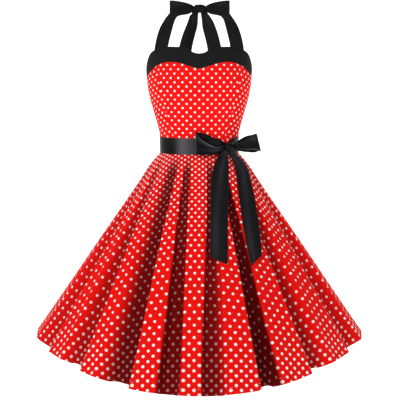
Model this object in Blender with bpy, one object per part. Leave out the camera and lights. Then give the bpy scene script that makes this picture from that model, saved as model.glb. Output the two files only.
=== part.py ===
"""A halter-neck swing dress, hollow and open as it is when worn.

Metres, +Z up, the front faces -Y and +X is the wearer's left.  The origin is the nape of the neck,
where the halter hangs.  Angles round the body are in degrees from the centre front, positive to +X.
"""

import math

import bmesh
import bpy
import numpy as np

# ---------------------------------------------------------------- driving sizes

COTTON = 0.0015            # wall of the dress fabric
RIBBON = 0.0010            # wall of the satin ribbon and the halter ties
SEAM_GAP = 0.0003          # space between neighbouring pieces at a seam
LAY_GAP = 0.0006           # space between a ribbon and the cloth it lies on

BODY_Y = -0.070            # centre plane of the body behind or before the nape
WAIST_SEAM_Z = -0.4405     # bodice meets skirt, under the ribbon belt
HEM_Z = -1.030
BELT_TOP_Z = -0.3960
BELT_BOTTOM_Z = -0.4460
WAIST_NIP_Z = -0.4468      # the skirt is held in as far as here, just below the belt
BACK_TOP_Z = -0.2070       # top edge of the low back

CUP_ANGLE = 36.0           # where the bust darts give their fullness
CUP_Z = -0.236
CUP_RISE = 0.013
CUP_SPREAD = 23.0
CUP_HEIGHT = 0.052

BELT_COLUMNS = 56

# Sections of the bodice's inner face: height, half width, depth in front and behind the centre plane
BODICE_SECTIONS = np.array([
    # z       half    front   back
    (-0.446, 0.1212, 0.0870, 0.0840),
    (-0.420, 0.1212, 0.0870, 0.0840),
    (-0.389, 0.1230, 0.0887, 0.0852),
    (-0.350, 0.1320, 0.0957, 0.0882),
    (-0.316, 0.1420, 0.1037, 0.0922),
    (-0.283, 0.1510, 0.1107, 0.0952),
    (-0.247, 0.1584, 0.1160, 0.0972),
    (-0.219, 0.1612, 0.1172, 0.0982),
    (-0.195, 0.1625, 0.1160, 0.0986),
    (-0.168, 0.1625, 0.1120, 0.0980),
    (-0.146, 0.1610, 0.1075, 0.0970),
    (-0.120, 0.1580, 0.0990, 0.0960),
    (-0.095, 0.1545, 0.0900, 0.0950),
])
FRONT_COLUMNS = 16         # mesh columns of the bodice's pieces, shared with the band above them
SIDE_COLUMNS = 9
BACK_COLUMNS = 12
BODICE_ROWS = (0.0, 0.05, 0.10, 0.15, 0.20, 0.29, 0.40, 0.52, 0.64, 0.76, 0.88, 1.0)

# Seam between the red bodice and the black bust band, and the top edge of the band
SWEETHEART = np.array([
    # angle   z
    (0.0, -0.1886),
    (8.0, -0.1830),
    (16.0, -0.1752),
    (26.0, -0.1690),
    (38.0, -0.1692),
    (49.0, -0.1765),
    (60.0, -0.1895),
    (75.0, -0.2075),
    (90.0, -0.2195),
    (115.0, -0.2290),
    (145.0, -0.2320),
    (180.0, -0.2320),
])
BAND_TOP = np.array([
    # angle   z
    (0.0, -0.1440),
    (6.0, -0.1405),
    (12.0, -0.1300),
    (18.0, -0.1252),
    (27.0, -0.1238),
    (36.0, -0.1232),
    (48.0, -0.1268),
    (59.0, -0.1335),
    (69.0, -0.1460),
    (78.0, -0.1690),
    (90.0, -0.1960),
    (105.0, -0.2055),
    (125.0, BACK_TOP_Z),
    (180.0, BACK_TOP_Z),
])
PRINCESS_SEAM = np.array([
    # z      angle
    (-0.446, 37.0),
    (-0.375, 41.0),
    (-0.320, 45.0),
    (-0.285, 46.5),
    (-0.190, 47.5),
    (-0.120, 48.0),
])

# Sections of the skirt's mean inner face, without its folds
SKIRT_SECTIONS = np.array([
    # z       half    front   back
    (WAIST_SEAM_Z, 0.1213, 0.0871, 0.0841),
    (WAIST_NIP_Z, 0.1214, 0.0872, 0.0842),
    (-0.4560, 0.1295, 0.0955, 0.0920),
    (-0.4720, 0.1430, 0.1080, 0.1050),
    (-0.5400, 0.1875, 0.1540, 0.1520),
    (-0.6100, 0.2335, 0.2030, 0.2020),
    (-0.6900, 0.2865, 0.2580, 0.2570),
    (-0.7600, 0.3325, 0.3050, 0.3040),
    (-0.8400, 0.3845, 0.3590, 0.3570),
    (-0.9300, 0.4440, 0.4190, 0.4160),
    (HEM_Z, 0.5100, 0.4860, 0.4830),
    (-1.0600, 0.5300, 0.5065, 0.5035),
])
FRONT_DIP = 0.026          # the front hangs longer than the sides by this share
CORNER_PINCH = 0.062       # the hem's plan is this much narrower between the front and the sides

# Folds of the skirt, one row each, at the hem: the valley's angle, half the width of its floor, how
# far it sinks and its turn at the waist against the hem; then the two edges of the crest that
# follows it, how far that stands out and its far edge's turn at the waist
SKIRT_FOLDS = np.array([
    # valley  floor  sink    turn  from     to       rise    turn
    (-170.0, 1.6, 0.022, 3.0, -164.5, -158.0, 0.016, 3.0),
    (-152.0, 2.0, 0.026, 2.0, -146.5, -140.5, 0.018, 0.0),
    (-134.5, 1.2, 0.020, -3.0, -129.0, -122.0, 0.014, -3.0),
    (-116.0, 2.2, 0.026, -2.0, -110.0, -104.0, 0.018, -2.0),
    (-97.0, 1.5, 0.022, -4.0, -90.0, -79.0, 0.014, -4.0),
    (-69.0, 1.5, 0.014, -6.0, -62.5, -55.0, 0.012, -6.0),
    (-47.5, 1.6, 0.024, -9.0, -40.5, -35.0, 0.017, -9.0),
    (-24.6, 2.6, 0.029, -5.0, -20.2, -12.9, 0.025, -5.0),
    (-9.0, 2.1, 0.014, -4.5, -5.2, 0.2, 0.015, 9.0),
    (2.9, 1.3, 0.012, 9.5, 9.5, 18.2, 0.016, 5.0),
    (21.0, 1.5, 0.029, 6.0, 24.4, 35.0, 0.018, 4.0),
    (41.5, 1.6, 0.025, 4.0, 50.0, 60.5, 0.016, 4.0),
    (70.0, 1.5, 0.015, 5.0, 77.0, 86.0, 0.015, 5.0),
    (97.0, 1.5, 0.023, 3.0, 102.5, 109.0, 0.017, 3.0),
    (115.5, 2.0, 0.026, 2.0, 121.0, 128.5, 0.018, 2.0),
    (134.5, 1.2, 0.019, -2.0, 139.0, 145.0, 0.015, -2.0),
    (151.0, 2.0, 0.026, -3.0, 156.0, 163.0, 0.018, -3.0),
    (171.0, 1.4, 0.021, -1.0, 176.5, 184.0, 0.015, -1.0),
])
FOLD_GROWTH = 0.85         # how the folds deepen from the waist (0) to the hem (1)
CREST_FALL = 0.9           # the far edge of a crest against its first edge
HEM_LIFT = 0.45            # a crest's hem hangs higher by this share of how far it stands out

DOWNWARD_STEP = (0.25, -0.002)  # steps for normals where the second parameter runs down the cloth
NIP_SHARE = (WAIST_SEAM_Z - WAIST_NIP_Z) / (WAIST_SEAM_Z - HEM_Z)
COLUMN_STEPS = (1.5, 6.0)  # a stretch wider than each of these gets one more column
SKIRT_ROWS = (0.0, NIP_SHARE, 0.035, 0.08, 0.15, 0.25, 0.38, 0.54, 0.70, 0.85, 1.0)

SIDE_SEAM = 90.0
CENTRE_BACK = 180.0

# Halter straps, from the band over the shoulder to the nape: the outer and the inner edge
STRAP_STATIONS = np.array([
    # outer x  y        z       inner x  y        z
    (0.1352, -0.1222, -0.1310, 0.0935, -0.1512, -0.1226),
    (0.1325, -0.1165, -0.1120, 0.0905, -0.1420, -0.1070),
    (0.1275, -0.1010, -0.0870, 0.0865, -0.1240, -0.0880),
    (0.1190, -0.0800, -0.0600, 0.0815, -0.1000, -0.0660),
    (0.1060, -0.0550, -0.0350, 0.0760, -0.0760, -0.0430),
    (0.0900, -0.0300, -0.0120, 0.0680, -0.0500, -0.0270),
    (0.0680, -0.0080, 0.0060, 0.0530, -0.0230, -0.0200),
    (0.0420, 0.0060, 0.0140, 0.0370, -0.0030, -0.0160),
    (0.0199, 0.0170, 0.0115, 0.0199, 0.0170, -0.0065),
])

# Neck bow: knot, two loops and two tails behind the nape
NECK_KNOT_CENTRE = (0.0015, 0.0235, 0.0035)
NECK_KNOT_HALF = (0.0208, 0.0118, 0.0130)

# A loop's run from the knot out, round its end and back: offsets from the knot's centre
NECK_LOOP = np.array([
    # out     back    lower    upper
    (0.0212, -0.0035, -0.0110, 0.0095),
    (0.0330, -0.0080, -0.0150, 0.0145),
    (0.0520, -0.0120, -0.0200, 0.0195),
    (0.0760, -0.0120, -0.0245, 0.0235),
    (0.0900, -0.0070, -0.0255, 0.0250),
    (0.0955, 0.0010, -0.0258, 0.0250),
    (0.0900, 0.0095, -0.0250, 0.0240),
    (0.0740, 0.0150, -0.0225, 0.0215),
    (0.0500, 0.0140, -0.0180, 0.0175),
    (0.0320, 0.0090, -0.0130, 0.0125),
    (0.0212, 0.0035, -0.0100, 0.0090),
])
NECK_TAIL_LEFT = np.array([
    # z       x        y       half width
    (-0.0100, -0.0108, 0.0240, 0.0092),
    (-0.0180, -0.0165, 0.0262, 0.0132),
    (-0.0368, -0.0205, 0.0290, 0.0164),
    (-0.0550, -0.0255, 0.0320, 0.0190),
    (-0.0784, -0.0336, 0.0350, 0.0204),
    (-0.1155, -0.0437, 0.0385, 0.0214),
    (-0.1650, -0.0512, 0.0425, 0.0218),
    (-0.2150, -0.0555, 0.0450, 0.0220),
    (-0.2750, -0.0590, 0.0460, 0.0220),
])
NECK_TAIL_RIGHT = np.array([
    # z       x        y       half width
    (-0.0100, 0.0143, 0.0240, 0.0100),
    (-0.0180, 0.0195, 0.0262, 0.0135),
    (-0.0368, 0.0270, 0.0292, 0.0185),
    (-0.0550, 0.0318, 0.0325, 0.0215),
    (-0.0784, 0.0390, 0.0355, 0.0225),
    (-0.1155, 0.0482, 0.0395, 0.0228),
    (-0.1650, 0.0545, 0.0436, 0.0225),
    (-0.2150, 0.0580, 0.0460, 0.0220),
    (-0.2900, 0.0605, 0.0470, 0.0220),
])
NECK_TAIL_SLANT = 0.016    # a tail's diagonal end: outer corner lower than the inner one
NECK_CUT_POWER = 6         # how near the end of a neck tail its slant begins
WAIST_CUT_POWER = 8

KNOT_SEGMENTS = (20, 12)   # round and up
KNOT_SQUARENESS = 2.7
KNOT_PLEAT = (0.035, 9.0, 2.0)  # depth of a knot's pleats, how many, and how much they slant

# Waist bow, tied left of the wearer's centre front
WAIST_KNOT_ANGLE = 43.0    # where on the belt it sits
WAIST_KNOT_Z = -0.4225
WAIST_KNOT_HALF = (0.0160, 0.0105, 0.0120)
INNER_LOOP_BEND = 0.118    # radius on which the inner loop follows the waist
OUTER_LOOP_LEAN = 22.0     # turn of the outer loop towards the front
WAIST_LOOP_IN = np.array([
    # out     forward lower    upper    (towards the centre front, along the bodice)
    (0.0160, 0.0000, -0.0095, 0.0095),
    (0.0280, 0.0050, -0.0130, 0.0180),
    (0.0450, 0.0105, -0.0155, 0.0300),
    (0.0640, 0.0145, -0.0170, 0.0410),
    (0.0820, 0.0155, -0.0185, 0.0455),
    (0.0940, 0.0130, -0.0192, 0.0470),
    (0.0980, 0.0085, -0.0192, 0.0475),
    (0.0930, 0.0035, -0.0185, 0.0465),
    (0.0780, 0.0005, -0.0170, 0.0430),
    (0.0580, -0.0010, -0.0155, 0.0350),
    (0.0380, -0.0020, -0.0130, 0.0220),
    (0.0160, -0.0045, -0.0095, 0.0095),
])
OUTER_LOOP_FLARE = 0.0075  # the lower edge reaches this much further out than the middle, the upper less
WAIST_LOOP_OUT = np.array([
    # out     forward lower    upper    (towards the wearer's left side)
    (0.0178, 0.0000, -0.0100, 0.0090),
    (0.0290, 0.0080, -0.0150, 0.0140),
    (0.0460, 0.0150, -0.0190, 0.0260),
    (0.0640, 0.0180, -0.0215, 0.0360),
    (0.0800, 0.0150, -0.0235, 0.0400),
    (0.0915, 0.0060, -0.0225, 0.0385),
    (0.0945, -0.0060, -0.0190, 0.0355),
    (0.0850, -0.0150, -0.0205, 0.0340),
    (0.0670, -0.0170, -0.0195, 0.0300),
    (0.0460, -0.0130, -0.0165, 0.0220),
    (0.0290, -0.0080, -0.0130, 0.0130),
    (0.0177, -0.0050, -0.0095, 0.0085),
])
# Tails over the skirt: height, centre angle on the skirt, half width, how far they stand out
WAIST_TAIL_IN = np.array([
    # z       angle   half    out
    (-0.4352, 38.4, 0.0080, 0.0120),
    (-0.4640, 28.6, 0.0170, 0.0072),
    (-0.5000, 22.2, 0.0215, 0.0052),
    (-0.5500, 17.6, 0.0240, 0.0040),
    (-0.6050, 14.1, 0.0245, 0.0034),
    (-0.6600, 11.8, 0.0245, 0.0030),
    (-0.7270, 9.5, 0.0245, 0.0030),
])
WAIST_TAIL_OUT = np.array([
    # z       angle   half    out
    (-0.4352, 48.8, 0.0080, 0.0120),
    (-0.4720, 54.2, 0.0190, 0.0070),
    (-0.5370, 45.0, 0.0235, 0.0040),
    (-0.6070, 36.1, 0.0243, 0.0024),
    (-0.6700, 31.6, 0.0235, 0.0018),
    (-0.7340, 28.7, 0.0215, 0.0018),
])
WAIST_TAIL_TWIST = 0.0090      # how far the outer tail's side edge stands off the skirt, to face the front
WAIST_TAIL_CUT_IN = 0.0105     # half the fall of the slanting end, lower on the wearer's left
WAIST_TAIL_CUT_OUT = -0.0125   # and lower on the wearer's right

# Concealed zip in the centre back seam
ZIP_HALF_WIDTH = 0.0120
ZIP_LOWER_HALF_WIDTH = 0.0085
ZIP_TAPE = 0.0010
TAPE_COLUMNS = 5
TAPE_ROWS = 7
TAPE_DROP = 0.0040         # the tape starts this far under the back's top edge
ZIP_GAP = 0.0008           # between the tape and the inner face of the back
ZIP_BOTTOM_Z = -0.5600
SLIDER_SIZE = (0.0062, 0.0030, 0.0110)
SLIDER_BEVEL = 0.0006
SLIDER_TOP_Z = -0.2125
PIVOT_DROP = 0.0040        # the pull's hinge line under the slider's top
PIVOT_RADIUS = 0.0011
PULL_LENGTH = 0.0220
PULL_WIDTH = 0.0062
PULL_THICKNESS = 0.0012
PULL_NECK = 0.55           # width of the pull at its hinge against its widest
PULL_STEPS = 10

RED = (0.82, 0.012, 0.016)
BLACK_COTTON = (0.018, 0.018, 0.019)
BLACK_SATIN = (0.012, 0.012, 0.013)
ZIP_METAL = (0.10, 0.10, 0.105)


# ---------------------------------------------------------------- curves and surfaces

def along(table, at):
    """Smooth interpolation of a table's other columns at a value of its first column."""
    order = np.argsort(table[:, 0])
    xs = table[order, 0]
    ys = table[order, 1:]
    slopes = np.gradient(ys, xs, axis=0)
    at = np.clip(at, xs[0], xs[-1])
    i = int(np.clip(np.searchsorted(xs, at) - 1, 0, len(xs) - 2))
    width = xs[i + 1] - xs[i]
    t = (at - xs[i]) / width
    start = (1 + 2 * t) * (1 - t) ** 2 * ys[i] + t * t * (3 - 2 * t) * ys[i + 1]
    bend = t * (1 - t) ** 2 * width * slopes[i] - t * t * (1 - t) * width * slopes[i + 1]
    return start + bend


def numbered(table):
    """The table with the share of the way along it, 0 to 1, put before its columns."""
    share = np.linspace(0.0, 1.0, len(table))
    return np.column_stack((share, table))


def ring_point(section, angle):
    """A point of a body section at an angle from the centre front."""
    half, front, back = section
    turn = math.radians(angle)
    depth = front if math.cos(turn) > 0 else back
    return half * math.sin(turn), BODY_Y - depth * math.cos(turn)


def bodice_point(angle, z):
    """The bodice's inner face, with the fullness of the cups."""
    section = along(BODICE_SECTIONS, z).copy()
    side = (abs(angle) - CUP_ANGLE) / CUP_SPREAD
    level = (z - CUP_Z) / CUP_HEIGHT
    section[1] += CUP_RISE * math.exp(-side * side - level * level)
    x, y = ring_point(section, angle)
    return np.array((x, y, z))


def fold_knots():
    """The fold table as knots of angle, height and turn, over one round and a bit more."""
    knots = []
    for valley, floor, sink, turn, start, end, rise, end_turn in SKIRT_FOLDS:
        knots.append((valley - floor, -sink, turn))
        knots.append((valley + floor, -sink, turn))
        knots.append((start, rise, turn))
        knots.append((end, rise * CREST_FALL, end_turn))
    knots = np.array(knots)
    before = knots - (360.0, 0.0, 0.0)
    after = knots + (360.0, 0.0, 0.0)
    return np.vstack((before, knots, after))


FOLD_KNOTS = fold_knots()


def fold_at(angle):
    """Height and turn of the folds at an angle, eased from knot to knot."""
    i = int(np.searchsorted(FOLD_KNOTS[:, 0], angle)) - 1
    low, high = FOLD_KNOTS[i], FOLD_KNOTS[i + 1]
    t = (angle - low[0]) / (high[0] - low[0])
    eased = t * t * (3 - 2 * t)
    return low[1:] + (high[1:] - low[1:]) * eased


def fold_growth(share):
    """How much of a fold's full height there is: none at the waist, all at the hem."""
    return max(share - NIP_SHARE, 0.0) ** FOLD_GROWTH


def skirt_base(angle, share):
    """The skirt's mean inner face: share runs from the waist seam (0) to the hem (1)."""
    turn = math.radians((angle + 180.0) % 360.0 - 180.0)
    dip = max(math.cos(1.5 * turn), 0.0) ** 2 if abs(turn) < math.pi / 3 else 0.0
    z = WAIST_SEAM_Z + (HEM_Z - WAIST_SEAM_Z) * share * (1.0 + FRONT_DIP * dip * share)
    pinch = CORNER_PINCH * share * abs(math.sin(turn)) * math.sin(2.0 * turn) ** 2
    section = along(SKIRT_SECTIONS, z) * (1.0 - pinch)
    x, y = ring_point(section, angle)
    return np.array((x, y, z))


def skirt_point(angle, share):
    """The skirt's inner face, with its folds."""
    height, turn = fold_at(angle)
    share = max(share, 0.0)
    here = angle + turn * (1.0 - share) ** 2
    point = skirt_base(here, share)
    reach = height * fold_growth(share)
    outward = math.radians(here)
    point[0] += reach * math.sin(outward)
    point[1] -= reach * math.cos(outward)
    point[2] += max(reach, -0.012) * HEM_LIFT * share
    return point


def normal_at(surface, u, v, du, dv):
    """Unit normal of a surface by central differences."""
    across = surface(u + du, v) - surface(u - du, v)
    down = surface(u, v + dv) - surface(u, v - dv)
    normal = np.cross(across, down)
    return normal / np.linalg.norm(normal)


# ---------------------------------------------------------------- solids

def material(name, colour, roughness, metallic=0.0):
    made = bpy.data.materials.new(name)
    made.use_nodes = True
    shader = made.node_tree.nodes["Principled BSDF"]
    shader.inputs["Base Color"].default_value = (*colour, 1.0)
    shader.inputs["Roughness"].default_value = roughness
    shader.inputs["Metallic"].default_value = metallic
    made.diffuse_color = (*colour, 1.0)
    return made


def finish(name, bm, finish_of, sharp=40.0):
    """Turn a bmesh into a named, smooth-shaded object with its own material."""
    bmesh.ops.recalc_face_normals(bm, faces=bm.faces)
    mesh = bpy.data.meshes.new(name)
    bm.to_mesh(mesh)
    bm.free()
    mesh.shade_smooth()
    mesh.set_sharp_from_angle(angle=math.radians(sharp))
    made = bpy.data.objects.new(name, mesh)
    bpy.context.scene.collection.objects.link(made)
    colour, roughness, metallic = finish_of
    mesh.materials.append(material(name, colour, roughness, metallic))
    return made


def wall(name, inner, outer, finish_of, wrap=False):
    """A closed solid between two grids of points, rows by columns, joined at their rims."""
    rows, columns = inner.shape[:2]
    bm = bmesh.new()
    faces = []
    for grid in (inner, outer):
        faces.append([[bm.verts.new(point) for point in row] for row in grid])
    last = columns if wrap else columns - 1
    for layer in faces:
        for r in range(rows - 1):
            for c in range(last):
                d = (c + 1) % columns
                bm.faces.new((layer[r][c], layer[r][d], layer[r + 1][d], layer[r + 1][c]))
    near, far = faces
    for r in (0, rows - 1):
        for c in range(last):
            d = (c + 1) % columns
            bm.faces.new((near[r][c], near[r][d], far[r][d], far[r][c]))
    if not wrap:
        for c in (0, columns - 1):
            for r in range(rows - 1):
                bm.faces.new((near[r][c], near[r + 1][c], far[r + 1][c], far[r][c]))
    return finish(name, bm, finish_of)


def surface_wall(name, surface, grid, thickness, finish_of, step=(0.4, 0.0008), lift=0.0, wrap=False):
    """A wall on a surface: grid holds (u, v) pairs, rows by columns, and lift is its inner offset."""
    inner = np.zeros((len(grid), len(grid[0]), 3))
    outer = np.zeros_like(inner)
    for r, row in enumerate(grid):
        for c, (u, v) in enumerate(row):
            point = surface(u, v)
            normal = normal_at(surface, u, v, *step)
            inner[r, c] = point + normal * lift
            outer[r, c] = point + normal * (lift + thickness)
    return wall(name, inner, outer, finish_of, wrap)


COTTON_RED = (RED, 0.75, 0.0)
COTTON_BLACK = (BLACK_COTTON, 0.80, 0.0)
SATIN = (BLACK_SATIN, 0.38, 0.0)
METAL = (ZIP_METAL, 0.35, 0.9)


# ---------------------------------------------------------------- bodice and bust band

def seam_turn(angle_radius, gap=SEAM_GAP):
    """Half a seam's gap as degrees at a radius."""
    return math.degrees(0.5 * gap / angle_radius)


def princess_angle(z):
    return float(along(PRINCESS_SEAM, z)[0])


def sweetheart_z(angle):
    return float(along(SWEETHEART, abs(angle))[0])


def band_top_z(angle):
    return float(along(BAND_TOP, abs(angle))[0])


def bodice_grid(left, right, columns):
    """Pairs of angle and height between two seams; a seam is an angle or a rule of height."""
    grid = []
    bottom = WAIST_SEAM_Z + SEAM_GAP
    for level in BODICE_ROWS:
        row = []
        for c in range(columns + 1):
            share = c / columns
            z = bottom + 0.5 * (CUP_Z - bottom)
            for _ in range(4):
                angle = left(z) + (right(z) - left(z)) * share
                top = sweetheart_z(angle) - 0.5 * SEAM_GAP
                z = bottom + (top - bottom) * level
            row.append((angle, z))
        grid.append(row)
    return grid


def bodice_panels():
    """Front, two side fronts and two backs."""
    turn = seam_turn(0.10)

    def princess_left(z):
        return -princess_angle(z)

    def fixed(angle):
        return lambda z: angle

    def shifted(rule, by):
        return lambda z: rule(z) + by

    panels = {
        "bodice_front": (shifted(princess_left, turn), shifted(princess_angle, -turn), FRONT_COLUMNS),
        "bodice_side_front_left": (shifted(princess_angle, turn), fixed(SIDE_SEAM - turn), SIDE_COLUMNS),
        "bodice_side_front_right": (fixed(-SIDE_SEAM + turn), shifted(princess_left, -turn), SIDE_COLUMNS),
        "bodice_back_left": (fixed(SIDE_SEAM + turn), fixed(CENTRE_BACK - turn), BACK_COLUMNS),
        "bodice_back_right": (fixed(-CENTRE_BACK + turn), fixed(-SIDE_SEAM - turn), BACK_COLUMNS),
    }
    for name, (left, right, columns) in panels.items():
        grid = bodice_grid(left, right, columns)
        surface_wall(name, bodice_point, grid, COTTON, COTTON_RED)


def band_grid(angles, rows):
    grid = []
    for r in range(rows + 1):
        row = []
        for angle in angles:
            low = sweetheart_z(angle) + 0.5 * SEAM_GAP
            row.append((angle, low + (band_top_z(angle) - low) * r / rows))
        grid.append(row)
    return grid


def bust_band():
    """One piece across the front, and a narrow one on each side of the zip."""
    turn = seam_turn(0.13)
    edge = SIDE_SEAM - turn
    seam = princess_angle(sweetheart_z(PRINCESS_SEAM[-1, 1]))
    side = np.linspace(seam, edge, SIDE_COLUMNS + 1)
    middle = np.linspace(-seam, seam, FRONT_COLUMNS + 1)
    spans = {
        "bust_band_front": np.concatenate((-side[::-1], middle[1:-1], side)),
        "bust_band_back_left": np.linspace(SIDE_SEAM + turn, CENTRE_BACK - turn, BACK_COLUMNS + 1),
        "bust_band_back_right": np.linspace(-CENTRE_BACK + turn, -SIDE_SEAM - turn, BACK_COLUMNS + 1),
    }
    for name, angles in spans.items():
        rows = 4 if name == "bust_band_front" else 2
        surface_wall(name, bodice_point, band_grid(angles, rows), COTTON, COTTON_BLACK)


# ---------------------------------------------------------------- skirt

def skirt_columns(start, end):
    """Angles of a panel's columns, on the fold knots and between them."""
    knots = FOLD_KNOTS[:, 0]
    inside = [start] + [k for k in knots if start + 1.0 < k < end - 1.0] + [end]
    angles = []
    for low, high in zip(inside[:-1], inside[1:]):
        count = 1 + sum(high - low > width for width in COLUMN_STEPS)
        angles.extend(low + (high - low) * i / count for i in range(count))
    angles.append(end)
    return angles


def skirt_panels():
    """The front from side seam to side seam, and two backs that meet at the zip."""
    spans = {
        "skirt_front": (-SIDE_SEAM, SIDE_SEAM),
        "skirt_back_left": (SIDE_SEAM, CENTRE_BACK),
        "skirt_back_right": (-CENTRE_BACK, -SIDE_SEAM),
    }
    for name, (start, end) in spans.items():
        columns = skirt_columns(start, end)
        grid = []
        for share in SKIRT_ROWS:
            section = along(SKIRT_SECTIONS, WAIST_SEAM_Z + (HEM_Z - WAIST_SEAM_Z) * share)
            turn = seam_turn(float(section[1]))
            row = [(angle, share) for angle in columns]
            row[0] = (start + turn, share)
            row[-1] = (end - turn, share)
            grid.append(row)
        surface_wall(name, skirt_point, grid, COTTON, COTTON_RED, step=DOWNWARD_STEP)


# ---------------------------------------------------------------- ribbons

def ribbon(name, edges, lengthwise, across, thickness, finish_of, crown=0.0):
    """A strip between two edges: edges(t) gives both ends of its cross line at t, 0 to 1."""
    def surface(v, t):
        near, far = edges(t)
        return near + (far - near) * v

    inner = np.zeros((lengthwise + 1, across + 1, 3))
    outer = np.zeros_like(inner)
    for r in range(lengthwise + 1):
        t = r / lengthwise
        for c in range(across + 1):
            v = c / across
            inside = min(max(t, 0.004), 0.996)
            normal = normal_at(surface, v, inside, 0.05, 0.004)
            bulge = crown * math.sin(math.pi * v)
            middle = surface(v, t) + normal * bulge
            inner[r, c] = middle - normal * (0.5 * thickness)
            outer[r, c] = middle + normal * (0.5 * thickness)
    return wall(name, inner, outer, finish_of)


def halter_straps():
    """From the top of the band, over the shoulders, to the knot at the nape."""
    stations = numbered(STRAP_STATIONS)
    for name, side in (("halter_strap_left", 1.0), ("halter_strap_right", -1.0)):
        mirror = np.array((side, 1.0, 1.0))
        shift = np.array((NECK_KNOT_CENTRE[0], 0.0, 0.0))

        def edges(t):
            row = along(stations, t)
            move = shift * t * t
            return row[:3] * mirror + move, row[3:] * mirror + move

        ribbon(name, edges, 18, 3, COTTON, COTTON_BLACK)


def knot(name, centre, half, turn, finish_of):
    """A tied knot: a squarish lump with a wrapped ribbon's soft pleats."""
    bm = bmesh.new()
    around, upward = KNOT_SEGMENTS
    bmesh.ops.create_uvsphere(bm, u_segments=around, v_segments=upward, radius=1.0)
    power = 2.0 / KNOT_SQUARENESS
    depth, count, slant = KNOT_PLEAT
    for vertex in bm.verts:
        x, y, z = vertex.co
        squared = [math.copysign(abs(value) ** power, value) for value in (x, y, z)]
        pleat = 1.0 + depth * math.cos(count * z + slant * x)
        vertex.co = (squared[0] * half[0], squared[1] * half[1] * pleat, squared[2] * half[2])
    made = finish(name, bm, finish_of)
    made.location = centre
    made.rotation_euler = (0.0, 0.0, math.radians(turn))
    return made


def neck_bow():
    """Knot, loops and tails at the nape."""
    knot("neck_knot", NECK_KNOT_CENTRE, NECK_KNOT_HALF, 0.0, COTTON_BLACK)
    centre = np.array(NECK_KNOT_CENTRE)
    loop = numbered(NECK_LOOP)
    for name, side in (("neck_loop_left", 1.0), ("neck_loop_right", -1.0)):
        def edges(t):
            out, back, low, high = along(loop, t)
            foot = centre + (side * out, back, 0.0)
            return foot + (0.0, 0.0, low), foot + (0.0, 0.0, high)

        ribbon(name, edges, 24, 3, RIBBON, COTTON_BLACK)
    tails = (("neck_tail_left", NECK_TAIL_RIGHT, 1.0), ("neck_tail_right", NECK_TAIL_LEFT, -1.0))
    for name, table, side in tails:
        hang_tail(name, table, side)


def hang_tail(name, table, side):
    """A tie's end that hangs from the knot down the back, cut on the slant."""
    stations = numbered(table)

    def edges(t):
        z, x, y, half = along(stations, t)
        slant = NECK_TAIL_SLANT * t ** NECK_CUT_POWER
        near = np.array((x - side * half, y, z + slant))
        far = np.array((x + side * half, y, z - slant))
        return near, far

    ribbon(name, edges, 16, 3, RIBBON, COTTON_BLACK)


# ---------------------------------------------------------------- belt and waist bow

def belt():
    """The satin ribbon round the waist, over the seam of bodice and skirt."""
    angles = [360.0 * i / BELT_COLUMNS - 180.0 for i in range(BELT_COLUMNS)]
    heights = np.linspace(BELT_BOTTOM_Z, BELT_TOP_Z, 5)
    grid = [[(angle, z) for angle in angles] for z in heights]
    surface_wall("ribbon_belt", bodice_point, grid, RIBBON, SATIN, lift=COTTON + LAY_GAP, wrap=True)


def waist_frame():
    """Centre of the waist knot, and its own directions: sideways, forward and up."""
    angle = WAIST_KNOT_ANGLE
    point = bodice_point(angle, WAIST_KNOT_Z)
    forward = normal_at(bodice_point, angle, WAIST_KNOT_Z, 0.4, 0.0008)
    forward[2] = 0.0
    forward /= np.linalg.norm(forward)
    clear = COTTON + LAY_GAP + RIBBON + LAY_GAP + WAIST_KNOT_HALF[1] * 1.04
    return point + forward * clear, forward


def waist_bow():
    centre, forward = waist_frame()
    turn = math.degrees(math.atan2(forward[0], -forward[1]))
    knot("waist_knot", centre, WAIST_KNOT_HALF, turn, SATIN)
    sideways = np.array((-forward[1], forward[0], 0.0))

    def inner_foot(out, front):
        return inner_loop_foot(centre[2], out, front)

    def outer_foot(out, front):
        return outer_loop_foot(centre, forward, sideways, out, front)

    loops = (
        ("waist_loop_right", WAIST_LOOP_IN, inner_foot, 0.0),
        ("waist_loop_left", WAIST_LOOP_OUT, outer_foot, OUTER_LOOP_FLARE),
    )
    for name, table, foot_of, flare_of in loops:
        loop = numbered(table)

        def edges(t):
            out, front, low, high = along(loop, t)
            flare = flare_of * (out / float(loop[:, 1].max())) ** 2
            lower = foot_of(out + flare, front) + (0.0, 0.0, low)
            upper = foot_of(out - flare, front) + (0.0, 0.0, high)
            return lower, upper

        ribbon(name, edges, 26, 4, RIBBON, SATIN)
    tails = (
        ("waist_tail_right", WAIST_TAIL_IN, WAIST_TAIL_CUT_IN, 0.0),
        ("waist_tail_left", WAIST_TAIL_OUT, WAIST_TAIL_CUT_OUT, WAIST_TAIL_TWIST),
    )
    for name, table, slant, twist in tails:
        waist_tail(name, table, slant, twist)


def inner_loop_foot(z, out, front):
    """The loop towards the centre front bends with the bodice it lies on."""
    angle = WAIST_KNOT_ANGLE - math.degrees(out / INNER_LOOP_BEND)
    point = bodice_point(angle, WAIST_KNOT_Z)
    normal = normal_at(bodice_point, angle, WAIST_KNOT_Z, 0.4, 0.0008)
    normal[2] = 0.0
    normal /= np.linalg.norm(normal)
    reach = COTTON + 2 * LAY_GAP + RIBBON + WAIST_KNOT_HALF[1] + front
    foot = point + normal * reach
    return np.array((foot[0], foot[1], z))


def outer_loop_foot(centre, forward, sideways, out, front):
    """The loop towards the side stands free, turned a little to the front."""
    lean = math.radians(OUTER_LOOP_LEAN)
    across = sideways * math.cos(lean) + forward * math.sin(lean)
    return centre + across * out + forward * front


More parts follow.
